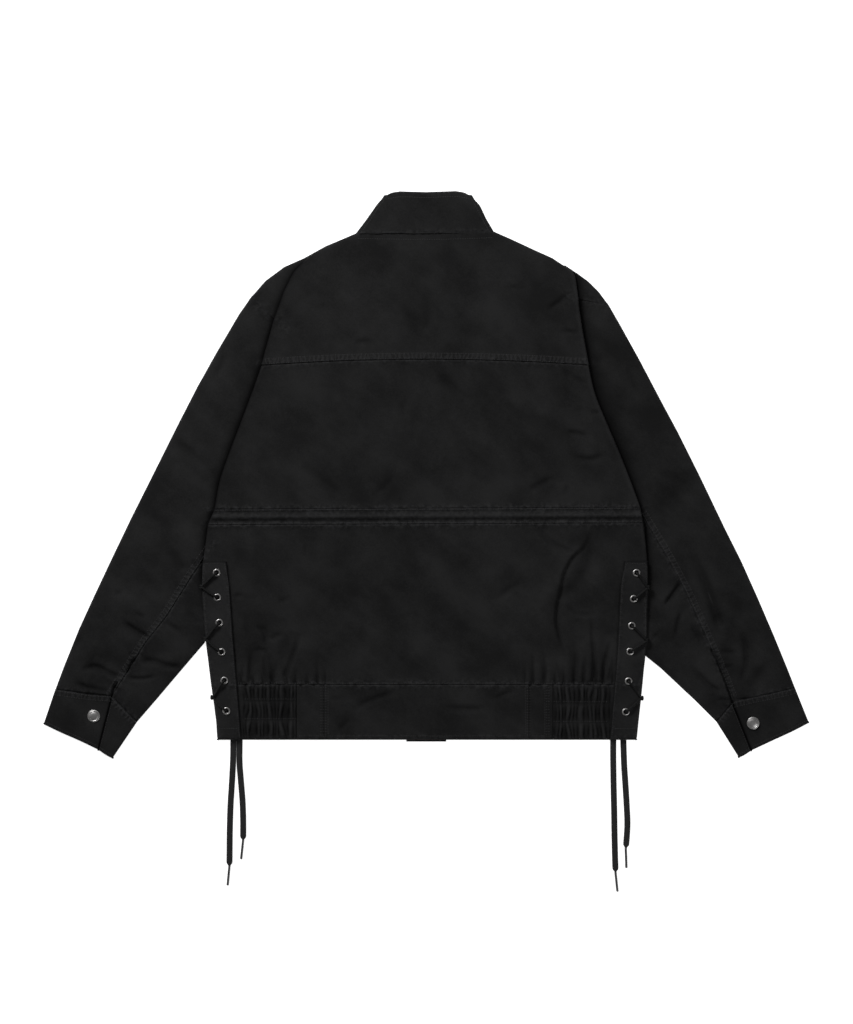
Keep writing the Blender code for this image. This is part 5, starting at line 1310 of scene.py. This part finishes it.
# ---------------------------------------------------------------- laces
def braided(name, path, width, thick, sides=20, taut=False, taper=()):
    """A flat-oval lace along a path, with a UV in millimetres for its braid.

    taper gives (distance from the end, width, thickness) rows for its last part.
    """
    path = [Vector(point) for point in path]
    rings, run = [], 0.0
    fullness = 1.0 if taut else 0.7  # a free lace is flat with round edges
    lace = bmesh.new()
    uv = lace.loops.layers.uv.new("UVMap")
    total = sum((b - a).length for a, b in zip(path, path[1:]))
    for i, point in enumerate(path):
        ahead = (path[min(i + 1, len(path) - 1)] - path[max(i - 1, 0)]).normalized()
        out = ahead.cross(Vector((0, 0, 1))).normalized()
        level = out.cross(ahead).normalized()
        if i:
            run += (point - path[i - 1]).length
        w, h = width, thick
        for left, narrow, deep in taper:
            if total - run < left:
                w, h = narrow, deep
        verts = []
        for k in range(sides):
            a = math.tau * k / sides
            side, rise = (math.copysign(abs(value) ** fullness, value)
                          for value in (math.cos(a), math.sin(a)))
            verts.append(lace.verts.new(point + out * (side * w / 2) + level * (rise * h / 2)))
        rings.append((verts, run))
    for (low, u0), (high, u1) in zip(rings, rings[1:]):
        for k in range(sides):
            face = lace.faces.new((low[k], low[(k + 1) % sides], high[(k + 1) % sides], high[k]))
            for loop, pair in zip(face.loops, ((u0, k), (u0, k + 1), (u1, k + 1), (u1, k))):
                loop[uv].uv = (pair[0], pair[1] * (width + thick) * 1.6 / sides)
    lace.faces.new(rings[0][0][::-1])
    lace.faces.new(rings[-1][0])
    piece = link(name, lace, braid(taut))
    return piece


def make_lacing():
    """Three Vs on each side: out of one eyelet, round the side edge and into the next."""
    rise = [(0.0, -1.2), (0.2, 0.9), (1.6, 2.6), (3.6, 3.6), (6.5, 3.3), (11.0, 2.7)]
    wide = bpy.context.scene.jacket_trim.lacing_width / MM
    for name, side in SIDES.items():
        for number in range(3):
            start, end = EYELETS[side][2 * number], EYELETS[side][2 * number + 1]
            edge_y = (start.y + end.y) / 2 - 2.5
            edge_x = float(at_height(BODY, edge_y, side))
            arms = []
            for spot, lean in ((start, 1.5), (end, -1.5)):
                to_x, to_y = edge_x - spot.x, edge_y + lean - spot.y
                reach = math.hypot(to_x, to_y)
                arm = [(spot.x + to_x * d / reach, spot.y + to_y * d / reach, h) for d, h in rise]
                arm = [(x, y, float(strip_height(x, y)) + h) for x, y, h in arm]
                for out, up in ((-1.5, 2.3), (0.9, 1.6), (1.7, -0.9)):
                    x, y = edge_x + side * out, edge_y + lean
                    arm.append((x, y, float(strip_height(edge_x, y)) + up))
                arms.append(arm)
            path = smooth_route(arms[0] + arms[1][::-1], 1.2)
            # The taut lacing takes the darker braid copy, painted shade
            lace = braided(f"lacing_{name}_{number + 1}", path, wide, wide * 0.92, sides=16, taut=True)
            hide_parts(f"lace_{name}_{number + 1}")


def make_laces():
    """The four free lace ends on the surface, declared as cords with their tips."""
    tips = make_aglets()
    trim = bpy.context.scene.jacket_trim
    wide, thick = trim.lace_width / MM, trim.lace_thickness / MM
    for route in LACES:
        spots = [(spot.x, spot.y, thick / 2 + 0.1) for spot in route.points]
        top, below = spots[0], spots[1]
        tilt = (below[0] - top[0]) / (below[1] - top[1])
        spots.insert(0, (top[0] + 10 * tilt, top[1] + 10, top[2]))
        path = smooth_route(spots, 2.4)
        drop = [(3.5, 3.6, 2.9), (2.4, 3.2, 2.9), (1.2, 2.7, 2.6)]
        lace = braided(f"cord_{route.name}", path, wide, thick, sides=24,
                       taper=[(6.0, 7.4, 2.5), (4.7, 5.8, 2.6)] + drop)
        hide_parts(f"lace_{route.name}")


# ---------------------------------------------------------------- topstitching
STITCH_SHARE, STITCH_WIDE, STITCH_HIGH = 0.85, 0.75, 0.55

# Bar tacks across the band with their widths, and the upright rows at its joins
BAR_TACKS = ((-138.8, 9.6), (138.2, 6.8), (164.0, 6.8))
BAND_JOINS = (-132.5, 133.6, 160.0)
ELASTIC = {LEFT: Elastic(SHIRR_LEFT, -248.0, (-302.0, -328.6)),
           RIGHT: Elastic(SHIRR_RIGHT, 246.5, (-305.6, -332.0))}


def beside(points, off):
    """A line of spots moved sideways, to the left of its direction."""
    line = np.array([tuple(point) for point in points], float)
    ahead = np.gradient(line, axis=0)
    ahead /= np.linalg.norm(ahead, axis=1)[:, None]
    return [Spot(*spot) for spot in line + np.stack([-ahead[:, 1], ahead[:, 0]], axis=1) * off]


def stitch_row(cloth, unit, line, height, lift):
    """Topstitches along a line of spots, lying on the cloth."""
    pitch = bpy.context.scene.jacket_cloth.stitch_pitch / MM
    long = STITCH_SHARE * pitch
    path = smooth_route(line, pitch / 4)
    run = np.concatenate([[0], np.cumsum(np.linalg.norm(np.diff(path, axis=0), axis=1))])
    at = np.arange(pitch / 2, run[-1] - pitch / 2, pitch)
    tips = []
    for shift in (-long / 2, long / 2):
        x, y = (np.interp(at + shift, run, path[:, axis]) for axis in (0, 1))
        z = height(x, y) + detail(x, y, height)[0] + lift
        tips.append(np.stack([x, y, z], axis=1))
    for a, b in zip(*tips):
        a, b = Vector(a), Vector(b)
        ahead = (b - a).normalized()
        out = ahead.cross(Vector((0, 0, 1))).normalized()
        place = Matrix((ahead * long / 2, out * STITCH_WIDE / 2,
                        out.cross(ahead) * STITCH_HIGH / 2)).transposed().to_4x4()
        place.translation = (a + b) / 2
        unit.transform(place)
        cloth.from_mesh(unit)
        unit.transform(place.inverted())


def stitched(name, rows):
    """One piece with all of a group's rows."""
    ball = bmesh.new()
    bmesh.ops.create_uvsphere(ball, u_segments=6, v_segments=5, radius=1.0)
    unit = bpy.data.meshes.new("stitch")
    ball.to_mesh(unit)
    ball.free()
    cloth = bmesh.new()
    for row in rows:
        stitch_row(cloth, unit, *row)
    bpy.data.meshes.remove(unit)
    piece = link(name, cloth, thread())


def make_stitching():
    """Topstitching along every seam and edge that shows it."""
    yoke = [Spot(x, yoke_seam(x)) for x in range(-216, 216, 27)]
    neck = spots((-93, 319.5), (-47, 318.6), (0, 318.2), (46, 318.8), (92, 320.6))
    stitched("stitching_back", [
        Row(beside(yoke, 1.6), back_height, 0.5), Row(beside(yoke, 8.6), back_height, 0.4),
        Row(neck, back_height, 0.0),
        Row(line_at(CHANNEL_TOP_Y - 1.6, CHANNEL_TILT, -285, 288), channel_height),
        Row(line_at(CHANNEL_BASE_Y + 1.8, CHANNEL_TILT, -291, 291), channel_height),
        Row(line_at(BAND_SEAM_Y + 1.8, 0, -255, 255, 30), back_height)])

    rows = [Row(line_at(HEM_Y + 5.5, 0, -246, 246, 30), back_height)]
    for x, wide in BAR_TACKS:
        for y in np.arange(HEM_Y + 8, BAND_SEAM_Y - 2, 3.7):
            rows.append(Row(spots((x - wide / 2, y), (x, y), (x + wide / 2, y)), back_height, 0.2))
    low, high = HEM_Y + 7, BAND_SEAM_Y - 2
    rows += [Row(spots((x, low), (x, (low + high) / 2), (x, high)), back_height) for x in BAND_JOINS]
    stitched("stitching_band", rows)

    for name, side in SIDES.items():
        heights = np.linspace(STRIP_ROW_Y, -355, 20)
        rows = [Row(edge_line(BODY, side, heights, -2.4), strip_height),
                Row(edge_line(STRIP, side, heights, 2.2), strip_height)]
        for y, inset in ((STRIP_ROW_Y, 2.4), (-341.5, 3.0)):
            line = edge_line(BODY, side, [y], -inset) + edge_line(STRIP, side, [y], 2.5)
            rows.append(Row(line, strip_height))
        elastic = ELASTIC[side]
        for y in elastic.heights:
            line = [Spot(x, y) for x in np.linspace(elastic.inner, elastic.outer, 8)]
            rows.append(Row(line, shirr_height))
        stitched(f"stitching_side_{name}", rows)

        seam, cuff, end = BACK_SEAM[side], CUFF[side], CUFF_END[side]
        rows = [Row(beside(seam, off * side), sleeve_height) for off in (2.0, 8.0)]
        for line, off in ((starts(cuff), 2.0), (starts(cuff), 7.5), (ends(cuff), -4.5), (starts(end), 2.0),
                          (ends(end), -4.5), (CUFF_SLIT[side], -2.2)):
            rows.append(Row(beside(line, off * side), cuff_height))
        stitched(f"stitching_sleeve_{name}", rows)

    rows = [Row([Spot(spot.x * 0.97, spot.y - 8) for spot in ends(COLLAR)], back_height, 0.0)]
    for line in (COLLAR_LEFT, COLLAR_RIGHT[::-1]):
        line = [Spot(spot.x - 5 * np.sign(spot.x), spot.y - 2) for spot in line]
        rows.append(Row(line, back_height, 0.0))
    stitched("stitching_collar", rows)


# ---------------------------------------------------------------- studio
CAMERA_PLACE, CAMERA_LENS = (0.0003, -0.0497, 3.269), 85.0


def area_light(name, place, aim, size, power):
    """A soft area light aimed at a point."""
    light = bpy.data.lights.new(name, "AREA")
    light.shape = "RECTANGLE"
    light.size, light.size_y = size
    light.energy = power
    lamp = bpy.data.objects.new(name, light)
    lamp.location = place
    lamp.rotation_mode = "QUATERNION"
    lamp.rotation_quaternion = (Vector(aim) - Vector(place)).to_track_quat("-Z", "Y")
    bpy.context.scene.collection.objects.link(lamp)
    return lamp


def make_stage():
    """White floor, pale surroundings, soft lights and the camera."""
    scene = bpy.context.scene
    scene.view_settings.view_transform = "Standard"
    scene.view_settings.look = "None"
    settings = scene.jacket_stage
    world = bpy.data.worlds.new("studio")
    world.use_nodes = True
    background = world.node_tree.nodes["Background"]
    background.inputs["Color"].default_value = WHITE
    background.inputs["Strength"].default_value = settings.surround
    scene.world = world

    sweep = bmesh.new()
    bmesh.ops.create_grid(sweep, x_segments=1, y_segments=1, size=9.0)
    mesh = bpy.data.meshes.new("floor")
    sweep.to_mesh(mesh)
    sweep.free()
    floor = bpy.data.objects.new("floor", mesh)
    scene.collection.objects.link(floor)
    material, _, bsdf = shader("white floor", (0.9, 0.9, 0.9), 0.9)
    bsdf.inputs["Emission Color"].default_value = WHITE
    bsdf.inputs["Emission Strength"].default_value = settings.floor_glow
    bsdf.inputs["Specular IOR Level"].default_value = 0.0
    mesh.materials.append(material)

    area_light("key", (-1.5, 2.2, 1.75), (0.0, 0.0, 0.0), (1.5, 0.9), settings.key)
    fill = area_light("fill", (0.9, 0.3, 2.9), (0.2, -0.1, 0.0), (1.0, 1.0), settings.key * 0.2)
    fill.visible_glossy = False  # the metal mirrors only the key light and the dim studio
    area_light("rim", (1.6, -1.6, 1.8), (0.0, 0.0, 0.0), (0.6, 0.6), settings.key * 0.1)

    camera = bpy.data.cameras.new("camera")
    camera.lens = CAMERA_LENS
    camera.clip_end = 50.0
    view = bpy.data.objects.new("camera", camera)
    view.location = CAMERA_PLACE
    scene.collection.objects.link(view)
    scene.camera = view


# ---------------------------------------------------------------- settings and operators
def size(name, description, default, top):
    """A length in metres, whose default is given in millimetres."""
    return FloatProperty(name=name, description=description, default=default * MM, min=0.0, max=top * MM,
                         precision=4, unit="LENGTH")


def tone(name, description, default):
    return FloatVectorProperty(name=name, description=description, default=default, min=0.0, max=1.0,
                               subtype="COLOR")


class JacketCloth(bpy.types.PropertyGroup):
    """The twill and its topstitching."""

    fold_puff: size("Side folds", "How far the back's side folds puff up off the sleeves", 3.2, 6.0)
    unevenness: size("Unevenness", "Height of the cloth's soft unevenness", 0.8, 2.0)
    stitch_pitch: size("Stitch pitch", "Distance from one topstitch to the next", 3.2, 8.0)
    dark: tone("Dye, dark", "The mottled dye's darker tone", (0.0083, 0.0083, 0.0085))
    pale: tone("Dye, pale", "The mottled dye's paler tone", (0.0186, 0.0186, 0.0189))
    thread: tone("Thread", "Colour of the topstitching", (0.034, 0.034, 0.035))


class JacketTrim(bpy.types.PropertyGroup):
    """Laces and metal parts."""

    lace_width: size("Lace width", "Width of the flat lace where it hangs free", 8.3, 12.0)
    lace_thickness: size("Lace thickness", "Thickness of the lace where it hangs free", 2.5, 4.0)
    lacing_width: size("Lacing width", "Width of the lace pulled tight between eyelets", 3.4, 5.0)
    metal: tone("Metal", "Colour of the eyelets and snaps", (0.23, 0.226, 0.218))


class JacketStage(bpy.types.PropertyGroup):
    """The studio's settings."""

    surround: FloatProperty(name="Surround", description="Brightness of the studio around the jacket",
                            default=0.06, min=0.0)
    floor_glow: FloatProperty(name="Floor glow", description="Light that the white floor gives by itself",
                              default=0.85, min=0.0)
    key: FloatProperty(name="Key light", description="Power of the large soft light above the collar",
                       default=75.0, min=0.0, unit="POWER")


SETTINGS = {"jacket_cloth": JacketCloth, "jacket_trim": JacketTrim, "jacket_stage": JacketStage}
GROUPS = []


def group(identifier, label, build):
    """An operator that makes one group of the jacket's pieces."""
    def execute(self, context):
        build()
        return {"FINISHED"}

    made = type(f"JACKET_OT_{identifier}", (bpy.types.Operator,),
                {"__doc__": build.__doc__, "bl_idname": f"jacket.{identifier}", "bl_label": label,
                 "bl_options": {"REGISTER", "UNDO"}, "execute": execute})
    GROUPS.append(made)


group("back", "Back", make_back)
group("band", "Hem band", make_band)
group("strips", "Lacing strips", make_strips)
group("collar", "Collar", make_collar)
group("sleeves", "Sleeves", make_sleeves)
group("cuffs", "Cuffs", make_cuffs)
group("lower_layer", "Lower layer", make_lower_layer)
group("stitching", "Stitching", make_stitching)
group("eyelets", "Eyelets", make_eyelets)
group("snaps", "Snaps", make_snaps)
group("lacing", "Lacing", make_lacing)
group("laces", "Lace ends", make_laces)
group("stage", "Studio", make_stage)


class JACKET_PT_panel(bpy.types.Panel):
    """Buttons for the jacket's groups."""

    bl_label = "Field jacket"
    bl_idname = "JACKET_PT_panel"
    bl_space_type = "VIEW_3D"
    bl_region_type = "UI"
    bl_category = "Jacket"

    def draw(self, context):
        for made in GROUPS:
            self.layout.operator(made.bl_idname)
        for name, kind in SETTINGS.items():
            for setting in kind.__annotations__:
                self.layout.prop(getattr(context.scene, name), setting)


def register():
    for name, kind in SETTINGS.items():
        bpy.utils.register_class(kind)
        setattr(bpy.types.Scene, name, PointerProperty(type=kind))
    for made in GROUPS:
        bpy.utils.register_class(made)
    bpy.utils.register_class(JACKET_PT_panel)


def unregister():
    bpy.utils.unregister_class(JACKET_PT_panel)
    for made in reversed(GROUPS):
        bpy.utils.unregister_class(made)
    for name, kind in SETTINGS.items():
        delattr(bpy.types.Scene, name)
        bpy.utils.unregister_class(kind)


def main():
    register()
    for made in GROUPS:
        category, name = made.bl_idname.split(".")
        getattr(getattr(bpy.ops, category), name)()


if __name__ == "__main__":
    main()
